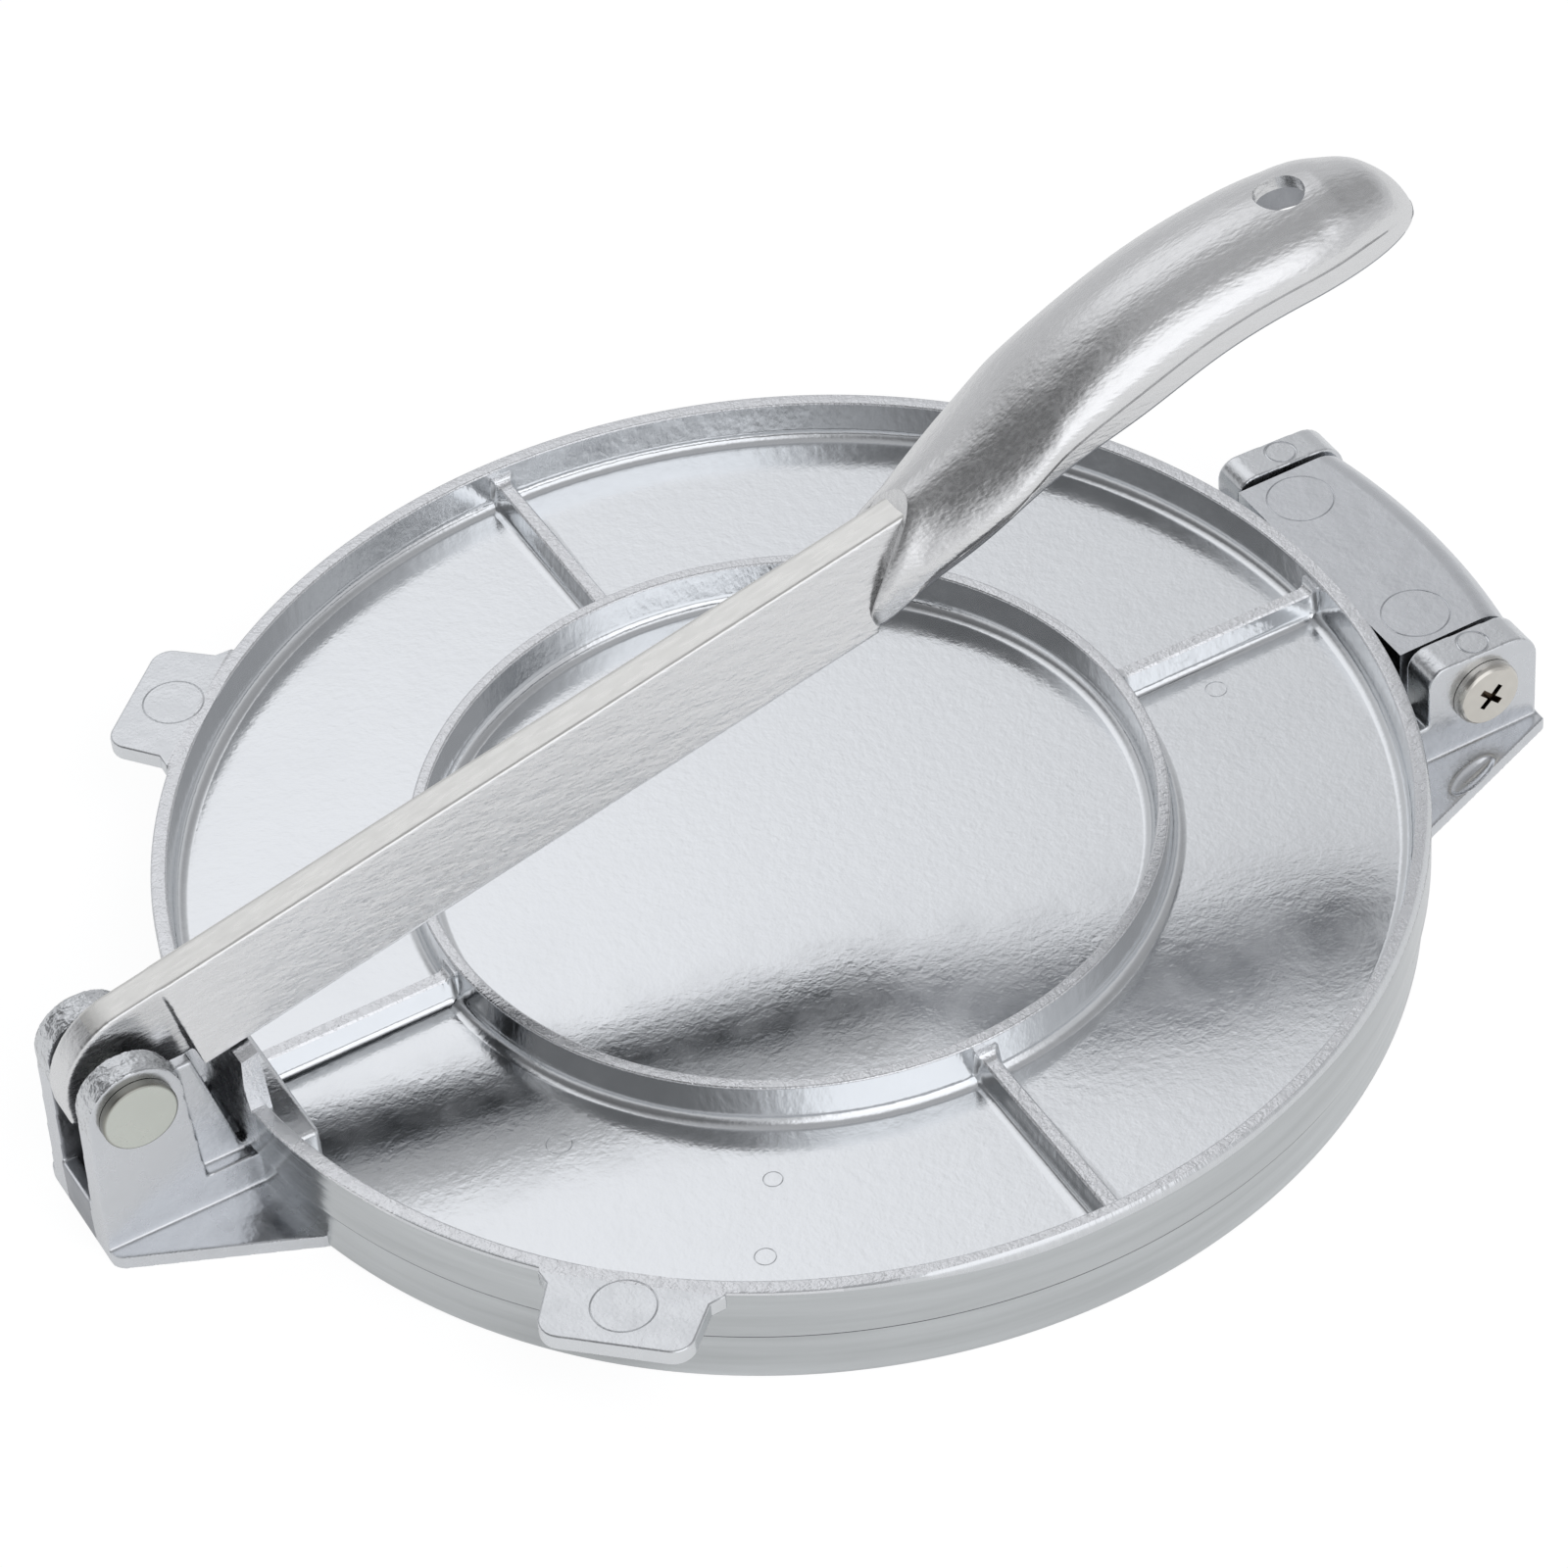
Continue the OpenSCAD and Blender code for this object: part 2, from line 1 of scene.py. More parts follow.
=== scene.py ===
# %% [markdown]
# # A cast aluminium press for tortillas
#
# The press is three castings and two pins. The frame gives each casting at its real size and place. This
# lesson models them again with the soft edges, fillets and marks that a die leaves, and gives each surface
# its own finish.

# %% Load the frame
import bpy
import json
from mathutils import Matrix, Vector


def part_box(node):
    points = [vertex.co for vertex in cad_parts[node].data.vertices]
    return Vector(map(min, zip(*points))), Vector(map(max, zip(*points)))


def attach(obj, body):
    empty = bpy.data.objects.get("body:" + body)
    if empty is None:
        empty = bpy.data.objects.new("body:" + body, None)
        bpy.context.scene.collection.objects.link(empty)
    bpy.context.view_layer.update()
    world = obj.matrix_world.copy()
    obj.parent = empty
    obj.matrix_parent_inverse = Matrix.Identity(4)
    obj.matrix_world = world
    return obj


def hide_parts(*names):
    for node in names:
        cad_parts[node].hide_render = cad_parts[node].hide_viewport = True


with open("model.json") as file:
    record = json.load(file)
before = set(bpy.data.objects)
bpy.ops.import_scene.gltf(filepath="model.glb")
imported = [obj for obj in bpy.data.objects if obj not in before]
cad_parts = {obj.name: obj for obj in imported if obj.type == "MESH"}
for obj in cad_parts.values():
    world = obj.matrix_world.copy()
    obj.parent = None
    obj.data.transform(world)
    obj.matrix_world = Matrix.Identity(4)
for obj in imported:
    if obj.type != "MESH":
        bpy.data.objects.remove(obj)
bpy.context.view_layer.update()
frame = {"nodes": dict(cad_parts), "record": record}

import bpy
import bmesh
import json
from math import atan2, cos, degrees, exp, hypot, pi, radians, sin, sqrt
from mathutils import Matrix, Vector

# %% [markdown]
# ## Sizes that everything else is worked out from
#
# A press is drawn around two circles, the plates, and two pins. The plates' sizes come from the frame's own
# boxes and the pins' places from its joints, so nothing has to be fitted by hand. The heights are the
# drawing's: the base's top, and the web and the rim of the top plate.

# %% Driving sizes
MM = 0.001
joints = {joint["name"]: Vector(joint["pos_m"]) for joint in frame["record"]["behaviour"]["joints"]}
pivot, hinge = joints["lever_pivot"], joints["plate_hinge"]
plate_r = -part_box("top_plate")[0][1]
base_r = -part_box("base_plate")[0][1]
base_h = 10.1 * MM
web_low = 10.4 * MM
web_top = 13.3 * MM
rim_top = 20.5 * MM
print("plate radius", plate_r, "pivot", pivot[:], "hinge", hinge[:])

# %% [markdown]
# ## Camera
#
# The press is looked at from the lever's side and well above, with a long lens, so its circles stay nearly
# parallel. The camera is built from its angles rather than aimed by hand, because angles can be checked.

# %% Camera
view_azimuth = radians(25.905)
view_elevation = radians(43.819)
view_roll = radians(5.339)
view_distance = 952.8 * MM
aim = Vector((7.07, 15.05, 10.0)) * MM
lens_mm, film_mm = 135.1, 36

sight = Vector((sin(view_azimuth) * cos(view_elevation), cos(view_azimuth) * cos(view_elevation),
                -sin(view_elevation)))
level = Vector((cos(view_azimuth), -sin(view_azimuth), 0))
upright = level.cross(sight)
camera_x = level * cos(view_roll) - upright * sin(view_roll)
camera_y = level * sin(view_roll) + upright * cos(view_roll)
camera_data = bpy.data.cameras.new("camera")
camera_data.sensor_width = film_mm
camera_data.lens = lens_mm
camera_data.clip_start = 0.05
camera_data.clip_end = 20
camera = bpy.data.objects.new("camera", camera_data)
bpy.context.scene.collection.objects.link(camera)
turn = Matrix((camera_x, camera_y, -sight)).transposed().to_4x4()
camera.matrix_world = Matrix.Translation(aim - sight * view_distance) @ turn
bpy.context.scene.camera = camera
bpy.context.scene.view_settings.view_transform = "Standard"
print("camera at", camera.location[:])

# %% [markdown]
# ## Colours and nodes
#
# Colours are written as they are picked on a screen, and one function turns them to the linear values that
# light is reckoned in. Another adds a node with its settings and links in one line, which keeps materials
# short.

# %% Helpers for materials
def linear(hex_colour):
    """A screen colour such as "#c8cacc" as linear red, green, blue and 1."""
    parts = [int(hex_colour[i:i + 2], 16) / 255 for i in (1, 3, 5)]
    return tuple(c / 12.92 if c <= 0.04045 else ((c + 0.055) / 1.055) ** 2.4 for c in parts) + (1,)


def node(tree, kind, settings=None, **inputs):
    """Adds a node with its properties. An input goes by its name with _ for a space, or by its number, as in
    i0, and is set to a value or linked to a socket or to a node's first output."""
    new = tree.nodes.new("ShaderNode" + kind)
    for name, value in (settings or {}).items():
        setattr(new, name, value)
    for name, value in inputs.items():
        numbered = name[0] == "i" and name[1:].isdigit()
        socket = new.inputs[int(name[1:]) if numbered else name.replace("_", " ")]
        if isinstance(value, bpy.types.Node):
            value = value.outputs[0]
        if isinstance(value, bpy.types.NodeSocket):
            tree.links.new(value, socket)
        else:
            socket.default_value = value
    return new


ADD, MULTIPLY, SOFT = {"operation": "ADD"}, {"operation": "MULTIPLY"}, {"interpolation_type": "SMOOTHSTEP"}
print("a screen's mid grey is", linear("#808080")[0], "in linear light")

# %% [markdown]
# ## Light: a softbox
#
# Polished metal has hardly any colour of its own: it shows the room. What it shows most are softboxes,
# lamps behind white cloth. Seen from the press each is a soft-edged rectangle in some direction. Lamps
# would do, but a rectangle in the world's own nodes adds no noise, and the same drawing can darken a dull
# corner.

# %% A rectangle in the room
world = bpy.data.worlds.new("light tent")
bpy.context.scene.world = world
world.use_nodes = True
tent = world.node_tree
tent.nodes.clear()
direction = node(tent, "TexCoord").outputs["Generated"]
just_ahead, well_ahead = 0.02, 0.1


def cloth_box(azimuth, elevation, half_wide, half_high, soft):
    """1 where a ray meets a soft-edged rectangle, 0 elsewhere. All five figures are in degrees."""
    a, e = radians(azimuth), radians(elevation)
    ahead = Vector((cos(a) * cos(e), sin(a) * cos(e), sin(e)))
    side = Vector((-sin(a), cos(a), 0))
    forward, across, rise = [node(tent, "VectorMath", {"operation": "DOT_PRODUCT"}, i0=direction,
                                  i1=axis).outputs["Value"] for axis in (ahead, side, ahead.cross(side))]
    mask = node(tent, "MapRange", SOFT, Value=forward, From_Min=just_ahead, From_Max=well_ahead)
    depth = node(tent, "Math", {"operation": "MAXIMUM"}, i0=forward, i1=just_ahead)
    for part, half in ((across, half_wide), (rise, half_high)):
        size = node(tent, "Math", {"operation": "ABSOLUTE"}, i0=part)
        slope = node(tent, "Math", {"operation": "DIVIDE"}, i0=size, i1=depth)
        angle = node(tent, "Math", {"operation": "ARCTANGENT"}, i0=slope)
        inside = node(tent, "MapRange", SOFT, Value=angle, From_Min=radians(half - soft),
                      From_Max=radians(half + soft), To_Min=1.0, To_Max=0.0)
        mask = node(tent, "Math", MULTIPLY, i0=mask, i1=inside)
    return mask


print("softboxes are drawn in", world.name)

# %% [markdown]
# ## Light: the room
#
# The press stands in a tent of pale cloth that darkens overhead, with a broad softbox behind it and one in
# front. The corners beyond the pivot and beyond the hinge are dim. The camera itself sees plain white, so
# the background takes no contrast from the metal.

# %% The room
height = node(tent, "SeparateXYZ", i0=direction).outputs[2]
walls = node(tent, "MapRange", SOFT, Value=height, From_Min=0.0, From_Max=0.4, To_Min=0.66, To_Max=0.60)
roof = node(tent, "MapRange", SOFT, Value=height, From_Min=0.6, From_Max=0.95, To_Min=0.0, To_Max=-0.15)
room = node(tent, "Math", ADD, i0=walls, i1=roof)
# A row is azimuth, elevation, half width, half height and softness in degrees, then the share that is lost.
dim_corners = [(172, 46, 40, 23, 12, 0.7), (6, 40, 25, 20, 10, 0.35)]
for *shape, loss in dim_corners:
    shade = node(tent, "Math", MULTIPLY, i0=cloth_box(*shape), i1=loss)
    left = node(tent, "Math", {"operation": "SUBTRACT"}, i0=1.0, i1=shade)
    room = node(tent, "Math", MULTIPLY, i0=room, i1=left)
# The same, with the strength that is gained.
softboxes = [(97, 54, 26, 14, 8, 0.5), (-88, 32, 26, 28, 9, 0.7)]
for *shape, gain in softboxes:
    glow = node(tent, "Math", MULTIPLY, i0=cloth_box(*shape), i1=gain)
    room = node(tent, "Math", ADD, i0=room, i1=glow)
cloth_light = node(tent, "Background", Color=linear("#fbfcff"), Strength=room)
plain_white = node(tent, "Background", Color=(1, 1, 1, 1), Strength=1.0)
camera_ray = node(tent, "LightPath").outputs["Is Camera Ray"]
seen = node(tent, "MixShader", Fac=camera_ray, i1=cloth_light, i2=plain_white)
node(tent, "OutputWorld", Surface=seen)
print("room set with", len(softboxes), "softboxes")

# %% [markdown]
# ## Light: the key lamp
#
# One real lamp in front casts the faint shadow on the table. Mirrors don't show it, because the softbox in
# front is what the metal shows there.

# %% Key lamp
cloth_panel = bpy.data.lights.new("key softbox", "AREA")
cloth_panel.shape = "SQUARE"
cloth_panel.size = 0.7
cloth_panel.energy = 4.0
key = bpy.data.objects.new("key softbox", cloth_panel)
bpy.context.scene.collection.objects.link(key)
key.location = (0.1, -0.9, 1.1)
key.rotation_mode = "QUATERNION"
key.rotation_quaternion = (-key.location).to_track_quat("-Z", "Y")
key.visible_glossy = False
print("key lamp of", cloth_panel.energy, "W")

# %% [markdown]
# ## Floor
#
# The press stands on a white table. The camera sees most of the table as pure white, and the rest is real
# shading, which keeps a faint shadow. Mirrors in the metal see the true table, a little brightened.

# %% Floor
bpy.ops.object.select_all(action="DESELECT")
bpy.ops.mesh.primitive_plane_add(size=6, location=(0, 0, 0))
floor = bpy.context.object
floor.name = "floor"
table = bpy.data.materials.new("white table")
table.use_nodes = True
tree = table.node_tree
tree.nodes.clear()
cloth = node(tree, "BsdfPrincipled", Base_Color=linear("#f2f3f4"), Roughness=0.9)
seen_white, mirror_lift = 0.86, 0.4
pure_white = node(tree, "Emission", Color=(1, 1, 1, 1), Strength=1.08)
ray = node(tree, "LightPath").outputs
to_camera = node(tree, "Math", MULTIPLY, i0=ray["Is Camera Ray"], i1=seen_white)
share = node(tree, "Math", {"operation": "MULTIPLY_ADD"}, i0=ray["Is Glossy Ray"], i1=mirror_lift,
             i2=to_camera)
surface = node(tree, "MixShader", Fac=share, i1=cloth, i2=pure_white)
node(tree, "OutputMaterial", Surface=surface)
floor.data.materials.append(table)
print("floor", floor.dimensions[:2])

# %% [markdown]
# ## Working with primitives
#
# Each casting starts as plain primitives that are cut, inset, extruded and bevelled, as at a bench. These
# helpers add a box or a bar. Its size and place go into its mesh at once, so the object stays at the
# origin.

# %% Helpers for primitives
def leave():
    """Back to object mode with nothing selected."""
    if bpy.context.mode != "OBJECT":
        bpy.ops.object.mode_set(mode="OBJECT")
    bpy.ops.object.select_all(action="DESELECT")


def settle(name):
    """Names the new primitive and moves its place and size into its mesh."""
    obj = bpy.context.object
    obj.name = name
    obj.data.name = name
    bpy.ops.object.transform_apply(location=True, rotation=True, scale=True)
    return obj


def block(name, low, high):
    """A box between two corners."""
    leave()
    centre = (Vector(low) + Vector(high)) / 2
    bpy.ops.mesh.primitive_cube_add(size=1, location=centre, scale=Vector(high) - Vector(low))
    return settle(name)


def round_bar(name, radius, low, high, axis="Z", place=(0, 0), vertices=64):
    """A cylinder along Z or Y from low to high, at a place in the other two axes."""
    leave()
    middle = (low + high) / 2
    spot, turned = ((*place, middle), 0) if axis == "Z" else ((place[0], middle, place[1]), pi / 2)
    bpy.ops.mesh.primitive_cylinder_add(vertices=vertices, radius=radius, depth=high - low, location=spot,
                                        rotation=(turned, 0, 0))
    return settle(name)


print("primitives: block, round_bar")

# %% [markdown]
# ## Working in edit mode
#
# These helpers do what the mouse would do: open a mesh, pick faces, edges or corners by where they are,
# slice with a plane, and round edges. Picking by place still works when a size changes, where numbered
# faces would not.

# %% Helpers for edit mode
def activate(obj):
    leave()
    obj.select_set(True)
    bpy.context.view_layer.objects.active = obj


def edit(obj):
    """Opens a mesh in edit mode with nothing selected."""
    activate(obj)
    bpy.ops.object.mode_set(mode="EDIT")
    bpy.ops.mesh.select_mode(type="FACE")
    bpy.ops.mesh.select_all(action="DESELECT")


def pick(obj, test, kind="FACE"):
    """Selects only the faces, edges or corners that pass a test."""
    bpy.ops.mesh.select_mode(type=kind)
    bpy.ops.mesh.select_all(action="DESELECT")
    mesh = bmesh.from_edit_mesh(obj.data)
    for part in {"FACE": mesh.faces, "EDGE": mesh.edges, "VERT": mesh.verts}[kind]:
        if test(part):
            part.select_set(True)
    mesh.select_flush_mode()
    bmesh.update_edit_mesh(obj.data)


def span(edge, axis):
    """How far an edge reaches along an axis."""
    return abs(edge.verts[0].co[axis] - edge.verts[1].co[axis])


def slice_off(obj, point, normal):
    """Cuts off all that lies beyond a plane, on its normal's side, and closes the cut."""
    edit(obj)
    bpy.ops.mesh.select_all(action="SELECT")
    bpy.ops.mesh.bisect(plane_co=point, plane_no=Vector(normal).normalized(), clear_outer=True, use_fill=True,
                        threshold=1e-6)
    leave()


def bevel_edges(obj, test, width, segments=3):
    """Rounds the edges that pass a test."""
    edit(obj)
    pick(obj, test, "EDGE")
    bpy.ops.mesh.bevel(offset=width, offset_type="OFFSET", segments=segments, affect="EDGES",
                       clamp_overlap=True)
    leave()


X, Y, Z = range(3)
print("edit mode: pick, slice_off, bevel_edges")

# %% [markdown]
# ## Joining and finishing
#
# Parts of one casting are joined with booleans, because in the mould they are one pour of metal. At the end
# each casting is shaded smooth between its real edges, with normals weighted so that flat faces stay flat.

# %% Helpers for whole solids
def apply_modifier(obj, kind, name, **settings):
    """Adds a modifier, sets it up and applies it."""
    activate(obj)
    modifier = obj.modifiers.new(name, kind)
    for key, value in settings.items():
        setattr(modifier, key, value)
    bpy.ops.object.modifier_apply(modifier=modifier.name)


def combine(obj, others, operation):
    """Joins other solids to this one, or cuts them from it, and removes them."""
    for other in others:
        apply_modifier(obj, "BOOLEAN", operation.lower(), operation=operation, solver="MANIFOLD",
                       object=other)
        bpy.data.meshes.remove(other.data)


def finish_shading(obj, angle=32):
    """Smooth shading that keeps edges sharper than an angle in degrees."""
    activate(obj)
    bpy.ops.object.shade_smooth_by_angle(angle=radians(angle))
    apply_modifier(obj, "WEIGHTED_NORMAL", "even faces", keep_sharp=True, weight=60)
    print(obj.name, len(obj.data.polygons), "faces")


print("solids: combine, finish_shading")

# %% [markdown]
# ## Top casting: the round plate
#
# The top plate is a thin web with a rim round its edge and a stiffening ring half way in. A disc is inset
# to the circles where walls stand, and the faces between them are pulled up. The walls' tops are drawn
# together, because they lean a little so that the casting leaves its die.

# %% The round plate
rim_wall = 2.6 * MM
draft = 0.5 * MM
ring_out, ring_in = 60.6 * MM, 58.6 * MM
segments_round = 288
tiny = 0.02 * MM


def flat_radius(point):
    """Distance from the plates' axis."""
    return sqrt(point.x ** 2 + point.y ** 2)


top = round_bar("top_casting", plate_r, web_low, web_top, vertices=segments_round)
edit(top)
pick(top, lambda f: f.normal.z > 0.9)
feet = [plate_r - rim_wall - draft, ring_out + draft, ring_in - draft]
crests = [plate_r - rim_wall, ring_out, ring_in]
reached = plate_r
for foot in feet:
    bpy.ops.mesh.inset(thickness=reached - foot, depth=0)
    reached = foot


def standing(f):
    """Is this face part of the web's top where a wall stands?"""
    r = flat_radius(f.calc_center_median())
    return f.normal.z > 0.9 and (r > feet[0] or feet[2] < r < feet[1])


pick(top, standing)
bpy.ops.mesh.extrude_region_move(TRANSFORM_OT_translate={"value": (0, 0, rim_top - web_top)})
for foot, crest in zip(feet, crests):
    pick(top, lambda v: v.co.z > rim_top - tiny and abs(flat_radius(v.co) - foot) < tiny, "VERT")
    bpy.ops.transform.resize(value=(crest / foot, crest / foot, 1), center_override=(0, 0, 0))
leave()
print("rim and ring stand", (rim_top - web_top) / MM, "mm high")

# %% [markdown]
# ## Top casting: fillets and broken edges
#
# Metal doesn't flow into a sharp corner, so each wall has a fillet at its foot and a slightly round crest,
# and the rim's seam edges are broken by hand. All are bevels of level circles.

# %% Fillets and edges
foot_fillet, crest_round, seam_round = 2.0 * MM, 0.35 * MM, 0.45 * MM


def circle_edge(height, radius, slack=0.1 * MM):
    """A test for edges that lie on a level circle."""
    return lambda e: all(abs(v.co.z - height) < slack and abs(flat_radius(v.co) - radius) < slack
                         for v in e.verts)


for foot in feet:
    bevel_edges(top, circle_edge(web_top, foot), foot_fillet, 5)
for crest in crests:
    bevel_edges(top, circle_edge(rim_top, crest), crest_round)
bevel_edges(top, circle_edge(web_low, plate_r), seam_round, 2)
bevel_edges(top, circle_edge(rim_top, plate_r), seam_round, 2)
print("top plate", len(top.data.polygons), "faces")

# %% [markdown]
# ## Top casting: the filed edge
#
# Where a hand meets the rim, its upper edge was broken with a file. A filed edge is never even, so the
# bevel that is there already is widened, corner by corner, by an amount that follows two slow waves.

# %% The filed edge
filed_down, filed_in = 1.3 * MM, 0.45 * MM
# Degrees round the rim over which the file sets in and lifts off, and the same for a fainter stretch.
file_sets_in, file_lifts = (-122, -95), (-45, -5)
faint_sets_in, faint_lifts, faint = (-160, -152), (-140, -130), 0.2


def smooth(value, low, high):
    """0 below low, 1 above high, and a soft step between."""
    u = min(1.0, max(0.0, (value - low) / (high - low)))
    return u * u * (3 - 2 * u)


def filed(angle):
    """How hard the rim's outer edge was filed at an angle: 0 where it wasn't, 1 where most was taken."""
    wave = 0.75 + 0.15 * sin(7 * angle + 1) + 0.1 * sin(17 * angle)
    round_rim = degrees(angle)
    return wave * (smooth(round_rim, *file_sets_in) * (1 - smooth(round_rim, *file_lifts))
                   + faint * smooth(round_rim, *faint_sets_in) * (1 - smooth(round_rim, *faint_lifts)))


for vertex in top.data.vertices:
    r, below = flat_radius(vertex.co), rim_top - vertex.co.z
    if r > plate_r - 0.5 * MM and below < 0.5 * MM:
        amount = filed(atan2(vertex.co.y, vertex.co.x))
        low_share = below / seam_round
        vertex.co.z -= filed_down * amount * low_share
        shrink = 1 - filed_in * amount * (1 - low_share) / r
        vertex.co.x *= shrink
        vertex.co.y *= shrink
top.data.update()
print("filed up to", filed_down / MM, "mm down the rim")

# %% [markdown]
# ## Top casting: ribs
#
# Four low ribs join the ring to the rim. A rib has a rounded foot on both sides, and swells up and out near
# each wall, where the mould's corner was eased. A section that changes along its length is easier to loft
# than to push about in edit mode.

# %% A loft
def loft(name, sections):
    """A closed solid through sections that have equal numbers of points."""
    mesh = bpy.data.meshes.new(name)
    shell = bmesh.new()
    rows = [[shell.verts.new(point) for point in section] for section in sections]
    count = len(rows[0])
    for one, two in zip(rows, rows[1:]):
        for i in range(count):
            shell.faces.new((one[i], one[(i + 1) % count], two[(i + 1) % count], two[i]))
    shell.faces.new(rows[0][::-1])
    shell.faces.new(rows[-1])
    bmesh.ops.recalc_face_normals(shell, faces=shell.faces)
    shell.to_mesh(mesh)
    shell.free()
    obj = bpy.data.objects.new(name, mesh)
    bpy.context.scene.collection.objects.link(obj)
    return obj


print("a loft joins sections end to end")

# %% [markdown]
# ## Top casting: one rib and its copies
#
# Half the rib's section is drawn once, in millimetres. Its swelling rises as a quarter circle towards each
# wall, so the sections lie close together there. The rib is made four times and turned.

# %% Ribs
rib_half_profile = [(3.5, -0.4), (3.2, 0.0), (2.4, 0.2), (1.95, 0.6), (1.7, 1.3), (1.5, 2.8), (1.25, 4.1),
                    (0.95, 4.4)]
rib_height = 4.4
corner_ease = 1.7
into_wall = 0.6


def eased(distance, radius):
    """Rise of a corner fillet at a distance from the wall that it climbs."""
    gap = max(0.0, radius - distance)
    return radius - sqrt(max(0.0, radius ** 2 - gap ** 2))


def rib_section(x):
    """The rib's outline at a distance from the axis, in millimetres."""
    swell = eased(x - feet[1] / MM, corner_ease) + eased(feet[0] / MM - x, corner_ease)
    half = [(y + 0.5 * swell, z * (1 + 0.9 * swell / rib_height) if z > 0 else z)
            for y, z in rib_half_profile]
    outline = [(-y, z) for y, z in half] + [(y, z) for y, z in reversed(half)]
    return [Vector((x, y, z + web_top / MM)) * MM for y, z in outline]


rib_from, rib_to = ring_out / MM - into_wall, (plate_r - rim_wall) / MM + into_wall
close_steps = [0.25 * i for i in range(14)]
steps = [rib_from + d for d in close_steps] + [rib_from + 4 + 2.4 * i for i in range(13)]
steps = [x for x in steps if x < rib_to - 3.6] + [rib_to - d for d in close_steps][::-1]
ribs = []
for quarter in range(4):
    rib = loft("rib", [rib_section(x) for x in steps])
    rib.data.transform(Matrix.Rotation(quarter * pi / 2, 4, "Z"))
    ribs.append(rib)
combine(top, ribs, "UNION")
print("four ribs of", len(steps), "sections")

# %% [markdown]
# ## Top casting: finger tabs
#
# Two tabs stand out of the rim for the fingers that lift the plate. Each is a flat tongue, flush with the
# rim's top, that widens twice on its way in. It is a box that is cut across at both places and widened
# there. Its corners are bevelled first, and then its upper and lower edges.

# %% Finger tabs
tab_angle = radians(132.8)
tab_half, tab_reach, tab_thick = 11.7 * MM, 11.4 * MM, 3 * MM
tab_corner, tab_edge = 3.2 * MM, 0.4 * MM
tab_start, tab_long = plate_r - rim_wall, tab_reach + rim_wall
tab_widens = [(0.16, 1.6 * MM), (0.28, 0.8 * MM)]
tabs = []
for side in (-1, 1):
    tab = block("tab", (tab_start, -tab_half, rim_top - tab_thick),
                (plate_r + tab_reach, tab_half, rim_top - 0.5 * tiny))
    edit(tab)
    for share, _ in tab_widens:
        bpy.ops.mesh.select_all(action="SELECT")
        bpy.ops.mesh.bisect(plane_co=(tab_start + share * tab_long, 0, 0), plane_no=(1, 0, 0), threshold=1e-6)
    for share, gain in reversed(tab_widens):
        pick(tab, lambda v: v.co.x < tab_start + (share + 0.01) * tab_long, "VERT")
        bpy.ops.transform.resize(value=(1, 1 + gain / tab_half, 1), center_override=(0, 0, 0))
    leave()
    bevel_edges(tab, lambda e: all(v.co.x > plate_r + tab_reach - MM for v in e.verts)
                and span(e, Z) > tab_thick / 2, tab_corner, 6)
    bevel_edges(tab, lambda e: span(e, Z) < tiny and any(v.co.x > plate_r for v in e.verts)
                and e.calc_face_angle(0) > 0.8, tab_edge)
    tab.data.transform(Matrix.Rotation(side * tab_angle, 4, "Z"))
    tabs.append(tab)
combine(top, tabs, "UNION")
print("tabs at", degrees(tab_angle), "degrees")

# %% [markdown]
# ## Top casting: hinge lug
#
# The lug carries the hinge pin. Its outer edge is part of a circle about the plate's centre, so it starts
# as a thick disc with a rounded edge, and all but the lug is sliced off. Its underside is hollowed, as
# casters keep walls thin, and a boss at each end takes the pin.

# %% Hinge lug
lug_half, lug_reach, lug_round, lug_wall, lug_edge = 24 * MM, 12.3 * MM, 5.5 * MM, 3 * MM, 0.7 * MM
lug_low, lug_top, lug_root = hinge.z - 4 * MM, rim_top - tiny, plate_r - 1.3 * MM
boss_r, boss_long, boss_shy, pin_bore = 6 * MM, 5 * MM, 0.998, 3.05 * MM
lug = round_bar("lug", hinge.x + lug_reach, lug_low, lug_top, vertices=segments_round)
bevel_edges(lug, circle_edge(lug_top, hinge.x + lug_reach), lug_round, 10)
slice_off(lug, (lug_root, 0, 0), (-1, 0, 0))
for side in (-1, 1):
    slice_off(lug, (0, side * lug_half, 0), (0, side, 0))
bevel_edges(lug, lambda e: all(abs(abs(v.co.y) - lug_half) < tiny and v.co.z > lug_low + tiny
                               for v in e.verts) and e.calc_face_angle(0) > 0.6, lug_edge)
edit(lug)
pick(lug, lambda f: f.normal.z < -0.9)
bpy.ops.mesh.inset(thickness=lug_wall, depth=0)
bpy.ops.mesh.extrude_region_move(TRANSFORM_OT_translate={"value": (0, 0, rim_top - lug_wall - lug_low)})
leave()


def drill(obj, half, place=(0, 0)):
    """Bores a pin's hole through a solid, along Y."""
    combine(obj, [round_bar("bore", pin_bore, -half, half, "Y", place)], "DIFFERENCE")


hinge_spot = (hinge.x, hinge.z)
bosses = [round_bar("boss", boss_r, *sorted((y * lug_half, y * (lug_half - boss_long))), "Y", hinge_spot)
          for y in (-boss_shy, boss_shy)]
combine(lug, bosses, "UNION")
drill(lug, lug_half + MM, hinge_spot)
combine(top, [lug], "UNION")
print("lug", len(top.data.polygons), "faces in the top casting")

# %% [markdown]
# ## Top casting: pressing pad
#
# The lever bears on a pad on the rim. The pad's top slopes as the resting lever does, so it is sliced with
# a plane taken from the lever's own angle, a hair below it. Its front and sides lean, so that it leaves the
# die. A low block behind it backs it against the load.

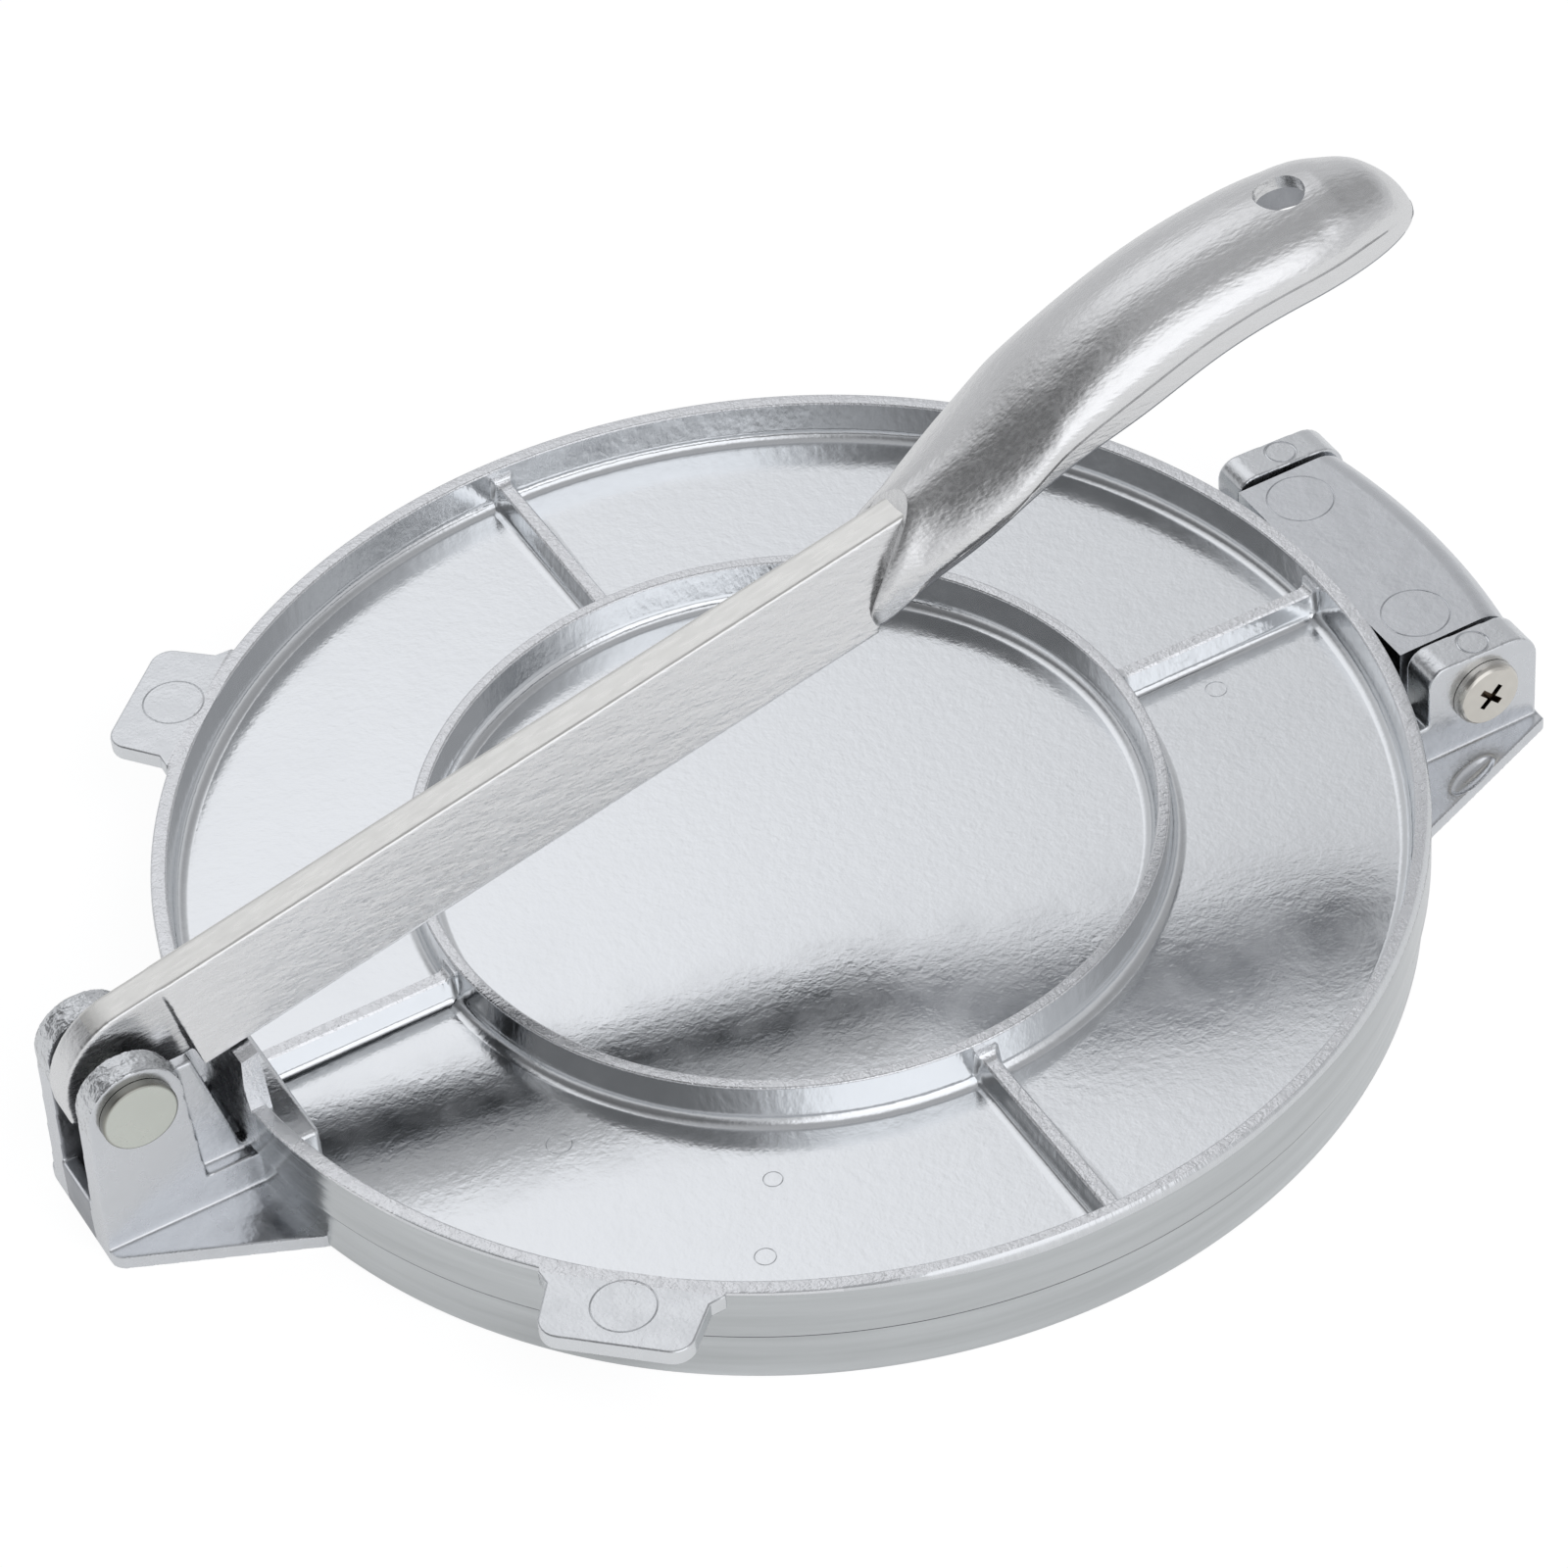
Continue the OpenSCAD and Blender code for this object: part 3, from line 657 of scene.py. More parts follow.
# %% Pressing pad
lever_tilt = radians(12.8)
lever_square = Vector((-sin(lever_tilt), 0, cos(lever_tilt)))
heel, gap = -3.1 * MM, 0.35 * MM
pad_thick, pad_half, pad_high = 4.2 * MM, 12 * MM, 40 * MM
rise, front_lean, side_lean = 8, 1.1, 1.6
pad_low, pad_edge = web_top - 0.3 * MM, 0.45 * MM
pad = round_bar("pad", plate_r - tiny, pad_low, pad_high, vertices=segments_round)
slice_off(pad, (-plate_r + pad_thick, 0, 0), (1, 0, 0))
slice_off(pad, pivot + lever_square * (heel - gap), lever_square)
slice_off(pad, (-plate_r, 0, rim_top), (-rise, 0, front_lean))
for side in (-1, 1):
    slice_off(pad, (0, side * pad_half, rim_top), (0, side * rise, side_lean))
bevel_edges(pad, lambda e: all(v.co.z > rim_top + MM for v in e.verts)
            and e.calc_face_angle(0) > 0.5, pad_edge)

back_x, back_front, back_half, back_top = -98.4 * MM, -93.4 * MM, 20.6 * MM, rim_top - 1.0 * MM
near_front, near_top, long_edge = -95 * MM, 18 * MM, 3 * MM
backing = block("backing", (back_x, -back_half, pad_low), (back_front, back_half, back_top))
bevel_edges(backing, lambda e: all(v.co.x > near_front and v.co.z > near_top for v in e.verts)
            or (span(e, X) > long_edge and e.verts[0].co.z > near_top)
            or (all(v.co.x > near_front for v in e.verts) and span(e, Z) > long_edge), 1.0 * MM, 4)
combine(top, [backing, pad], "UNION")
print("pad", len(top.data.polygons), "faces in the top casting")

# %% [markdown]
# ## Top casting: marks of the ejector pins
#
# Round pins push a casting out of its die and leave fine circles on it. Each circle is a real groove, cut
# with a thin ring: one on each tab, two on the lug and four small ones on the web.

# %% Ejector marks
mark_depth, fine_depth = 0.16 * MM, 0.09 * MM
tab_mark_r, lug_mark_r, tab_mark_out = 5.0 * MM, 5.6 * MM, 3.9 * MM
lug_mark_x, lug_mark_y = 108 * MM, 17 * MM
web_marks = [((-62, -37.6), 2.0), ((-38.2, -61.7), 1.5), ((-46.8, -74.6), 1.65), ((75.4, -7.8), 1.75)]


def ejector_ring(place, radius, depth):
    """A thin ring that cuts the groove round one ejector pin."""
    leave()
    bpy.ops.mesh.primitive_torus_add(location=place, major_radius=radius, minor_radius=depth,
                                     major_segments=72, minor_segments=8)
    return settle("ejector mark")


mark_r = plate_r + tab_mark_out
marks = [ejector_ring((mark_r * cos(side * tab_angle), mark_r * sin(side * tab_angle), rim_top), tab_mark_r,
                      mark_depth) for side in (-1, 1)]
marks += [ejector_ring((lug_mark_x, side * lug_mark_y, rim_top), lug_mark_r, mark_depth) for side in (-1, 1)]
marks += [ejector_ring((x * MM, y * MM, web_top), r * MM, fine_depth) for (x, y), r in web_marks]
combine(top, marks, "DIFFERENCE")
finish_shading(top)
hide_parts("top_plate")
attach(top, "top")

# %% [markdown]
# ## Base casting: the disc
#
# The base is a disc with a flat top, hollow underneath, with a ring and four ribs as wide as a pencil.
# Insets of the underside are pushed up, which leaves the outer wall and the ring.

# %% The base disc
base_wall, base_skin, under_ring, under_wall, rib_half = 4 * MM, 4 * MM, 60.6 * MM, 3 * MM, 1.5 * MM
top_edge, bottom_edge = 0.35 * MM, 0.9 * MM
skin_low = base_h - base_skin
base = round_bar("base_casting", base_r, 0, base_h, vertices=segments_round)
edit(base)
pick(base, lambda f: f.normal.z < -0.9)
reached = base_r
rings = [base_r - base_wall, under_ring, under_ring - under_wall]
for foot in rings:
    bpy.ops.mesh.inset(thickness=reached - foot, depth=0)
    reached = foot
pick(base, lambda f: f.normal.z < -0.9 and (rings[1] < flat_radius(f.calc_center_median()) < rings[0]
                                            or flat_radius(f.calc_center_median()) < MM))
bpy.ops.mesh.extrude_region_move(TRANSFORM_OT_translate={"value": (0, 0, skin_low)})
leave()
bevel_edges(base, circle_edge(base_h, base_r), top_edge, 2)
bevel_edges(base, circle_edge(0, base_r), bottom_edge, 4)
under_ribs = []
for quarter in range(4):
    rib = block("under rib", (-rib_half, -rib_half, tiny),
                (base_r - base_wall / 2, rib_half, skin_low + tiny))
    rib.data.transform(Matrix.Rotation(pi / 4 + quarter * pi / 2, 4, "Z"))
    under_ribs.append(rib)
combine(base, under_ribs, "UNION")
print("base disc", len(base.data.polygons), "faces")

# %% [markdown]
# ## Base casting: worn edges
#
# Small castings are tumbled with stones, which rounds every edge and corner alike. Bevels would clash where
# ribs and ears meet. A fine voxel remesh with a light smoothing does what the stones do, and a decimate
# takes faces away again where the metal is flat.

# %% Tumbling
def tumble(obj, grain, keep=0.3):
    """Wears a rough solid: a skin of a given grain, smoothing, then a share of the faces kept."""
    apply_modifier(obj, "REMESH", "new skin", mode="VOXEL", voxel_size=grain, adaptivity=0.0)
    apply_modifier(obj, "SMOOTH", "worn edges", factor=0.5, iterations=5)
    apply_modifier(obj, "DECIMATE", "lighter", ratio=keep)


worn_grain, lever_grain = 0.27 * MM, 0.36 * MM
print("grains of", worn_grain, lever_grain)

# %% [markdown]
# ## Base casting: the lever clevis
#
# The clevis is a fork of two ears that hold the lever's pin, each backed by a thin gusset that leans away
# from the rim. An ear is a box that two planes slice, with a round bar for its eye, on a low flange whose
# sides run in towards the disc. All are joined and tumbled together. The bore is drilled last and stays
# sharp.

# %% The lever clevis
ear_in, ear_out, eye_r = 5 * MM, 10 * MM, 8 * MM
foot_x, ear_back = pivot.x - 9 * MM, pivot.x + 9.4 * MM
fork_top, wall_top, flange_top = pivot.z + 1.6 * MM, 8.8 * MM, 2.5 * MM
in_disc, gusset_out, gusset_low, gusset_top = -98 * MM, 7.5 * MM, 7 * MM, 31 * MM
gusset_foot, gusset_lean = (-101.9 * MM, 0, base_h), (20.8, 0, 5.2)
step_x, step_top = -103 * MM, base_h - 0.15 * MM
clevis_half, clevis_front_half, clevis_end, flange_run = 28 * MM, 12 * MM, -96.4 * MM, (14, 30.4)
ear_front_lean, ear_back_lean = (-26.2, 0, 1.1), (28.7, 0, 1.6)
parts = []
for side in (-1, 1):
    low_y, high_y = sorted((side * ear_in, side * ear_out))
    ear = block("ear", (foot_x, low_y, 0), (ear_back + MM, high_y, fork_top))
    slice_off(ear, (foot_x, 0, flange_top), ear_front_lean)
    slice_off(ear, (ear_back, 0, 0), ear_back_lean)
    wall = block("wall", (pivot.x, low_y, 0), (in_disc + MM, high_y, wall_top))
    thin_low, thin_high = sorted((side * ear_in, side * gusset_out))
    gusset = block("gusset", (pivot.x + 2 * MM, thin_low, gusset_low), (in_disc, thin_high, gusset_top))
    slice_off(gusset, gusset_foot, gusset_lean)
    step = block("step", (step_x, thin_low, gusset_low), (in_disc, thin_high, step_top))
    parts += [ear, round_bar("eye", eye_r, low_y, high_y, "Y", (pivot.x, pivot.z)), wall, gusset, step]
parts.append(block("slot end", (foot_x, -ear_in - tiny, 0), (foot_x + 2.6 * MM, ear_in + tiny, 9 * MM)))
clevis = block("clevis", (foot_x, -clevis_half, 0), (clevis_end, clevis_half, flange_top))
for side in (-1, 1):
    slice_off(clevis, (foot_x, side * clevis_front_half, 0), (-flange_run[0], side * flange_run[1], 0))
bevel_edges(clevis, lambda e: span(e, Z) > MM and all(v.co.x < foot_x + MM for v in e.verts), 1.6 * MM, 4)
combine(clevis, parts, "UNION")
tumble(clevis, worn_grain)
drill(clevis, 12 * MM, (pivot.x, pivot.z))
print("clevis", len(clevis.data.polygons), "faces")

# %% [markdown]
# ## Base casting: the hinge ears
#
# Two ears carry the hinge pin beside the lug. Their tops fall a little outwards and show an ejector mark
# each, and the flange in front of each has a thumb-sized hollow that saves metal. In a box two corners are
# moved down and two edges rounded. A flattened ball cuts the hollow.

# %% The hinge ears
ear_low_y, ear_high_y = 25 * MM, 31.5 * MM
ear_x0, ear_x1 = hinge.x - 10.6 * MM, hinge.x + 10.4 * MM
ear_top, ear_fall = rim_top + 0.9 * MM, 0.9 * MM
ear_nose, ear_corner = 5 * MM, 3.6 * MM
flange_x0, flange_x1, flange_wide = 86 * MM, ear_x1 + 0.4 * MM, 45 * MM
flange_cut_y, flange_cut_lean = 33.5 * MM, (11.5, 30.55)
hollow_x, hollow_y, hollow_z, hollow_turn = 105.0 * MM, 38.2 * MM, 2.7 * MM, radians(-20.6)
hollow_size = (5.6 * MM, 1.9 * MM, 1.3 * MM)
mark_x, mark_y, mark_z = 111.4 * MM, 28.3 * MM, ear_top - 0.45 * MM
ear_mark_r, ear_mark_depth = 2.6 * MM, 0.25 * MM
ears = []
for side in (-1, 1):
    low_y, high_y = sorted((side * ear_low_y, side * ear_high_y))
    ear = block("hinge ear", (ear_x0, low_y, 0), (ear_x1, high_y, ear_top))
    edit(ear)
    pick(ear, lambda v: v.co.x > hinge.x and v.co.z > MM, "VERT")
    bpy.ops.transform.translate(value=(0, 0, -ear_fall))
    leave()
    bevel_edges(ear, lambda e: all(v.co.z > hinge.z and v.co.x > hinge.x for v in e.verts)
                and span(e, Y) > MM, ear_nose, 8)
    bevel_edges(ear, lambda e: all(v.co.z > hinge.z + 5 * MM and v.co.x < hinge.x for v in e.verts)
                and span(e, Y) > MM, ear_corner, 8)
    root = block("root", (ear_x0 - 6 * MM, low_y, 0), (ear_x0 + MM, high_y, step_top))
    wide_low, wide_high = sorted((side * ear_low_y, side * flange_wide))
    flange = block("flange", (flange_x0, wide_low, 0), (flange_x1, wide_high, flange_top))
    slice_off(flange, (flange_x1, side * flange_cut_y, 0), (flange_cut_lean[0], side * flange_cut_lean[1], 0))
    leave()
    bpy.ops.mesh.primitive_uv_sphere_add(segments=32, ring_count=16,
                                         location=(hollow_x, side * hollow_y, hollow_z),
                                         rotation=(0, 0, side * hollow_turn), scale=hollow_size)
    combine(flange, [settle("hollow")], "DIFFERENCE")
    combine(ear, [root, flange], "UNION")
    tumble(ear, worn_grain)
    mark = ejector_ring((0, 0, 0), ear_mark_r, ear_mark_depth)
    mark.data.transform(Matrix.Translation((mark_x, side * mark_y, mark_z))
                        @ Matrix.Rotation(atan2(ear_fall, ear_x1 - ear_x0), 4, "Y"))
    drill(ear, 33 * MM, hinge_spot)
    combine(ear, [mark], "DIFFERENCE")
    ears.append(ear)
combine(base, [clevis] + ears, "UNION")
finish_shading(base, 40)
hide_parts("base_plate")
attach(base, "base")

# %% [markdown]
# ## Lever casting: the bar
#
# The lever is modelled lying level, with its pin at the origin. Its straight part is a bar with leaning
# sides and a narrow flat strip on top, which steps in to the strip's width near the pin and ends in a round
# nose. A box, three slices and two round bars give all of it, and it is tumbled like the clevis.

# %% Lever: the bar
strip_top, strip_half, low_half = 12 * MM, 2.8 * MM, 7 * MM
shoulder, grip_start, grip_len, wall_thick = 12.6 * MM, 134 * MM, 109 * MM, 2.6 * MM
grip_tip = grip_start + grip_len
nose_x, nose_z, nose_r, lever_eye_r = 4.9 * MM, -2 * MM, 14 * MM, 8.8 * MM
bar_end_x, bar_end_lean = grip_start + 1.5 * MM, (15.1, 0, -16.5)
lever = block("lever_casting", (shoulder, -low_half - MM, heel),
              (grip_start + 22 * MM, low_half + MM, strip_top))
for side in (-1, 1):
    slice_off(lever, (0, side * low_half, heel), (0, side * (strip_top - heel), low_half - strip_half))
slice_off(lever, (bar_end_x, 0, heel), bar_end_lean)
nose = round_bar("nose", nose_r, -strip_half, strip_half, "Y", (nose_x, nose_z), 96)
slice_off(nose, (0, 0, heel), (0, 0, -1))
slice_off(nose, (shoulder + MM, 0, 0), (1, 0, 0))
eye = round_bar("eye", lever_eye_r, -strip_half, strip_half, "Y", (0, 0), 96)
neck = block("neck", (nose_x, -strip_half, heel), (shoulder + MM, strip_half, strip_top))
combine(lever, [nose, eye, neck], "UNION")
tumble(lever, lever_grain)
print("lever bar", len(lever.data.polygons), "faces")

# %% [markdown]
# ## Lever casting: the lines of the grip
#
# The grip is a shell that fits the palm. Four lines along the lever, in millimetres, fix its shape: the
# rim, an arc pressed in a little where the palm starts, the half width, the crown, and the front's lean.
# The crown climbs in one free curve to its peak and falls to the tip as a quarter of an ellipse.

# %% Lever: lines of the grip
arc_r, arc_mid, arc_top = 138.8, 201.0, 14.5
narrow_half, palm_gain, tip_from, tip_to = 7, 5.5, 216.8, 243
crown_start, crown_peak = (129.0, 12.0), (224.5, 24.6)
tip_height, tip_end, grip_from = 7.4, 242.9, 135.6
start_reach, peak_reach, peak_slope = 44.7, 50.1, radians(10)
lean_share, lean_from, lean_power = 0.36, 0.3, 1.4
# How much, where and over what length the rim is pressed down.
palm_press, front_press = (1.5, 186, 13), (0.9, 140, 4)


def hump(s, high, middle, wide):
    """A smooth hump along the lever."""
    return high * exp(-((s - middle) / wide) ** 2)


def rim_height(s):
    """Height of the grip's lower edge: an arc, pressed down a little at the palm and at the front."""
    pressed = hump(s, *palm_press) + hump(s, *front_press)
    return max(heel / MM, arc_top - arc_r + sqrt(arc_r ** 2 - (s - arc_mid) ** 2) - pressed)


def half_width(s):
    """Half the grip's width: it swells out for the palm and closes in a half ellipse at the tip."""
    share = max(0.0, (s - tip_from) / (tip_to - tip_from))
    return (narrow_half + palm_gain * smooth(s, 130, 166)) * sqrt(max(0.0, 1 - share ** 2))


def crown_spot(u):
    """A spot on the curve that the crown follows, for u from 0 at the strip to 1 at the peak."""
    corners = [crown_start, (crown_start[0] + start_reach, crown_start[1]),
               (crown_peak[0] - peak_reach * cos(peak_slope), crown_peak[1] + peak_reach * sin(peak_slope)),
               crown_peak]
    weights = [(1 - u) ** 3, 3 * (1 - u) ** 2 * u, 3 * (1 - u) * u * u, u ** 3]
    return [sum(w * corner[axis] for w, corner in zip(weights, corners)) for axis in (0, 1)]


crown_spots = [crown_spot(i / 600) for i in range(601)]


def crown_height(s):
    """Height of the crown: the curve up to its peak, then a quarter of an ellipse down to the tip."""
    if s >= crown_peak[0]:
        share = min(1.0, (s - crown_peak[0]) / (tip_end - crown_peak[0]))
        return tip_height + (crown_peak[1] - tip_height) * sqrt(1 - share ** 2)
    after = next(i for i, spot in enumerate(crown_spots) if spot[0] > s)
    (s0, z0), (s1, z1) = crown_spots[after - 1], crown_spots[after]
    return z0 + (z1 - z0) * (s - s0) / (s1 - s0)


def front_shift(z):
    """How far the grip's front leans back at a height: it rises upright, then leans more and more."""
    return lean_share * max(0.0, z - lean_from) ** lean_power


print("grip is", 2 * half_width(190), "mm wide at the palm, its crown", crown_peak[1], "mm above the pin")

# %% [markdown]
# ## Lever casting: a section of the grip
#
# Across the lever the grip is a low upright band, a fine step where the die parted, and a dome. Near its
# start the section leans. How far a point leans depends on its height, and its height on where it has
# leaned to, so both are worked out together in a few rounds.

# %% Lever: section of the grip
rim_round, parting_step, band_low, band_gain, band_least = 0.8, 0.3, 1.2, 3.0, 0.3
dome_foot, least_half, start_round, start_sunk, upright_by = 0.15, 0.25, 2.5, 1.1, 180
# Where along the lever the band and the parting step grow and end, and the dome's crease at the tip.
band_grows, band_ends = (140, 190), (236, 242)
step_grows, step_ends = (142, 160), (230, 240)
crease_in, crease_out = (0.35, 233.0, 2.4), (0.2, 238.0, 2.4)


def grip_section(foot, inset=0.0, drop=0.0, points=40):
    """One section of the grip, from one rim over the dome to the other. An inset gives the hollow's section,
    and a drop draws its two ends down, so that it cuts clear."""
    lean = 1 - smooth(foot, grip_from, upright_by)
    start = min(1.0, max(0.0, (foot - grip_from) / start_round))
    sunk = start_sunk * (1 - sqrt(1 - (1 - start) ** 2))
    low = rim_height(foot)
    band = (band_low + band_gain * smooth(foot, *band_grows)) * (1 - smooth(foot, *band_ends)) + band_least
    step = crease = 0.0
    if not inset:
        step = parting_step * smooth(foot, *step_grows) * (1 - smooth(foot, *step_ends))
        crease = hump(foot, *crease_in) - hump(foot, *crease_out)
    dome = []
    for i in range(points + 1):
        x, rise = foot, sin(pi * i / points)
        for _ in range(12):
            edge_z = low + min(band, 0.35 * (crown_height(x) - low))
            z = edge_z + dome_foot + (crown_height(x) - inset - edge_z - dome_foot) * rise - crease * rise
            x = 0.5 * x + 0.5 * (foot + lean * front_shift(z))
        w = max(least_half, half_width(x) - inset - sunk)
        dome.append((x, (w - step) * cos(pi * i / points), z))
        if i == 0:
            rim = [(foot, w - rim_round, low - drop), (foot, w - 0.3 * rim_round, low + 0.3 * rim_round),
                   (foot, w, low + rim_round), (foot + lean * front_shift(edge_z), w, max(edge_z, low + 1.2))]
    other_rim = [(x, -y, z) for x, y, z in reversed(rim)]
    return [Vector(point) * MM for point in rim + dome + other_rim]


print("a section has", len(grip_section(190)), "points")

# %% [markdown]
# ## Lever casting: the grip and the hollows
#
# The sections stand close together where the grip starts and towards its tip, where the shape turns
# fastest. The grip is joined to the bar. Then the channel, the shell's hollow, the hanging hole and the
# pin's bore are cut, and the lever is laid at its angle.

# %% Lever: the grip
feet_along = [grip_from + d for d in (0.0, 0.1, 0.3, 0.6, 1.0, 1.5, 2.0, 2.6)]
feet_along += [grip_from + 3.5 + 1.2 * i for i in range(74)]
feet_along += [tip_end - 15 * (1 - sin(pi / 2 * i / 36)) for i in range(1, 36)] + [tip_end - 0.005]
grip = loft("grip", [grip_section(foot) for foot in feet_along])
hollow_feet = [grip_from + 2.5 + 4 * i for i in range(26)]
grip_hollow = loft("grip hollow", [grip_section(foot, wall_thick / MM, 12) for foot in hollow_feet])
channel_half, channel_top = low_half - wall_thick, strip_top - wall_thick
channel_rise, channel_lean = 12.5, 2.8
channel = block("channel", (shoulder + 8 * MM, -channel_half, heel - 10 * MM),
                (grip_start + 8 * MM, channel_half, channel_top))
for side in (-1, 1):
    slice_off(channel, (0, side * channel_half, heel), (0, side * channel_rise, channel_lean))
hole_x, hole_y, hole_r = grip_tip - 20.4 * MM, 0.5 * MM, 4.1 * MM
hang_hole = round_bar("hanging hole", hole_r, 0, 60 * MM, "Z", (hole_x, hole_y), 64)
combine(lever, [grip], "UNION")
combine(lever, [channel, grip_hollow, hang_hole], "DIFFERENCE")
drill(lever, 5 * MM)
lever.data.transform(Matrix.Translation(pivot) @ Matrix.Rotation(-lever_tilt, 4, "Y"))
finish_shading(lever, 40)
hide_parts("lever")
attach(lever, "lever")


# %% [markdown]
# ## What the metal is
#
# All three castings are bare die-cast aluminium. Its colour hardly changes over the press: what tells one
# surface from the next is how it was finished. A finish is therefore a colour, a roughness and a few layers
# of relief, each with a real grain size and depth. One function builds such a material, and every finish
# calls it.

# %% One function for every finish of the metal
SOIL = "#4a3d30"


def metal_finish(name, colour, roughness, layers, stretch=(1, 1, 1), turn=(0, 0, 0), mottle=5.0, stain=0.93,
                 around=False, soil=None):
    """Metal with layers of relief, each a grain size and a depth in millimetres. Mottle is the size of its
    clouds and stain their darkest tone. Around wraps the pattern along and up the wall. Soil says where it
    is brown."""
    material = bpy.data.materials.new(name)
    material.use_nodes = True
    tree = material.node_tree
    tree.nodes.clear()
    place = node(tree, "TexCoord").outputs["Object"]
    wrapped = place
    if around:
        turned = node(tree, "TexGradient", {"gradient_type": "RADIAL"}, Vector=place).outputs[1]
        along = node(tree, "Math", MULTIPLY, i0=turned, i1=2 * pi * plate_r)
        height = node(tree, "SeparateXYZ", Vector=place).outputs[2]
        wrapped = node(tree, "CombineXYZ", X=along, Z=height)
    drawn = node(tree, "Mapping", Vector=wrapped, Rotation=turn, Scale=stretch)
    relief = {}
    for grain, depth in layers:
        lumps = node(tree, "TexNoise", Vector=drawn, Scale=1000 / grain, Detail=2.0, Roughness=0.55)
        relief = {"Normal": node(tree, "Bump", Height=lumps, Distance=depth * MM, Strength=1.0, **relief)}
    clouds = node(tree, "TexNoise", Vector=drawn, Scale=1000 / mottle, Detail=3.0, Roughness=0.6)
    dullness = node(tree, "MapRange", Value=clouds, From_Min=0.3, From_Max=0.7, To_Min=0.75 * roughness,
                    To_Max=1.25 * roughness)
    pale = linear(colour)
    dark = [part * stain for part in pale[:3]] + [1]
    skin = node(tree, "Mix", {"data_type": "RGBA"}, i0=clouds, i6=dark, i7=pale).outputs[2]
    if soil:
        skin = node(tree, "Mix", {"data_type": "RGBA"}, i0=soil(tree, place), i6=skin,
                    i7=linear(SOIL)).outputs[2]
    metal = node(tree, "BsdfPrincipled", Base_Color=skin, Metallic=1.0, Roughness=dullness, **relief)
    node(tree, "OutputMaterial", Surface=metal)
    print(name, "with", len(layers), "layers of relief")
    return material


# %% [markdown]
# ## Finish: die-polished
#
# The web and the walls inside the rim and the ring come from a polished die. They are almost a mirror, but
# the skin of a casting is never quite even: it has soft ripples and a fine orange-peel grain, which show as
# slight breaks in the reflections.

# %% Die-polished aluminium
polished = metal_finish("die-polished cast aluminium", "#eef0f2", 0.17,
                        [(1.4, 0.032), (0.5, 0.013)], mottle=8.0, stain=0.88)
wall_polished = metal_finish("polished die wall", "#eceef0", 0.12, [(6.0, 0.1), (1.6, 0.06), (0.5, 0.012)],
                             stretch=(1, 1, 0.5))

# %% [markdown]
# ## Finish: blasted
#
# The tops of the rim, the ring and the ribs, the tabs and the pad are where the die was left rough and the
# flash was taken off with grit. Grit leaves dents about half a millimetre across, which glint one by one.

# %% Blasted aluminium
blasted = metal_finish("grit-blasted cast aluminium", "#eff0f2", 0.26, [(1.6, 0.14), (0.5, 0.09)], mottle=2.0,
                       stain=0.85)
fine_blasted = metal_finish("fine-blasted cast aluminium", "#eaecee", 0.27, [(3.0, 0.08), (0.6, 0.05)],
                            stain=0.88)

# %% [markdown]
# ## Finish: tumbled
#
# The eyes of the clevis were tumbled longest: their skin is hammered all over, with dents of a millimetre
# or so.

# %% Tumbled aluminium
tumbled = metal_finish("tumbled cast aluminium", "#e6e8ea", 0.2, [(1.9, 0.6), (0.6, 0.12)], mottle=2.0,
                       stain=0.75)

# %% [markdown]
# ## Finish: satin
#
# The flat faces of the lug, the ears and the flanges have the plain skin of a die that was stoned but not
# polished: satin, with soft clouds a few millimetres wide.

# %% Satin aluminium
satin = metal_finish("stoned satin cast aluminium", "#e0e2e5", 0.25, [(7.0, 0.12), (0.9, 0.03)], mottle=4.0,
                     stain=0.86)

# %% [markdown]
# ## Finish: wiped outer walls and filed edge
#
# The outer walls were wiped with a belt, which leaves faint level streaks. The file left short upright
# strokes on the rim's upper edge. Both patterns follow the wall, so they are wrapped round the plates' axis
# and stretched along it or up it.

# %% Drawn walls and the filed edge
drawn_wall = metal_finish("belt-wiped outer wall", "#dcdfe0", 0.2, [(5.0, 0.3), (1.2, 0.05)],
                          stretch=(0.05, 1, 1), mottle=3.0, stain=0.62, around=True)
filed_edge = metal_finish("filed edge", "#e6e8ea", 0.26, [(1.1, 0.12), (0.45, 0.04)], stretch=(1, 1, 0.08),
                          mottle=1.0, stain=0.8, around=True)

# %% [markdown]
# ## Finish: the lever's skin
#
# The lever is held, not looked into. Its skin is an even silk with a fine grain, and here and there the
# metal froze in streaks along it, so the coarser layer is turned to the lever's slope and drawn out.

# %% The lever's skin
lever_turn = (0, lever_tilt, 0)
lever_skin = metal_finish("silk-grained cast aluminium", "#ececec", 0.27, [(1.8, 0.12), (0.45, 0.03)],
                          stretch=(0.35, 1, 1), turn=lever_turn, mottle=0.7, stain=0.88)
lever_strip = metal_finish("brushed top strip", "#eeede9", 0.3, [(1.2, 0.04), (0.3, 0.01)],
                           stretch=(0.06, 1, 1), turn=lever_turn, mottle=1.0, stain=0.9)

# %% [markdown]
# ## Finish: raw casting, partly painted shade
#
# Inside the hollows, under the plates and in the slots nobody ever finished anything. The raw skin is rough
# and dull, and its dark grey is partly painted shade for these hollows and undersides. The seam between the
# plates gets a darker grey still, which is painted shade for the gap's shadow.

# %% Raw casting skin
# Raw skin: rough and dull, and its darker grey is partly painted shade in hollows and undersides.
raw_skin_and_shade = metal_finish("raw casting skin with painted shade", "#b2b4b8", 0.45, [(2.0, 0.1), (0.6, 0.05)], stain=0.8)
# Painted shade: this dark grey stands in for the shadow in the gap between the two plates.
painted_seam_shade = metal_finish("painted shade in the seam between the plates", "#6c6e72", 0.55, [(1.2, 0.1)], stain=0.8)

# %% [markdown]
# ## Pins
#
# Both pins are steel with a thin nickel plating. The lever pin's head is dull and faintly green. The hinge
# screw is newer and warmer, and its cross recess holds some brown soil.

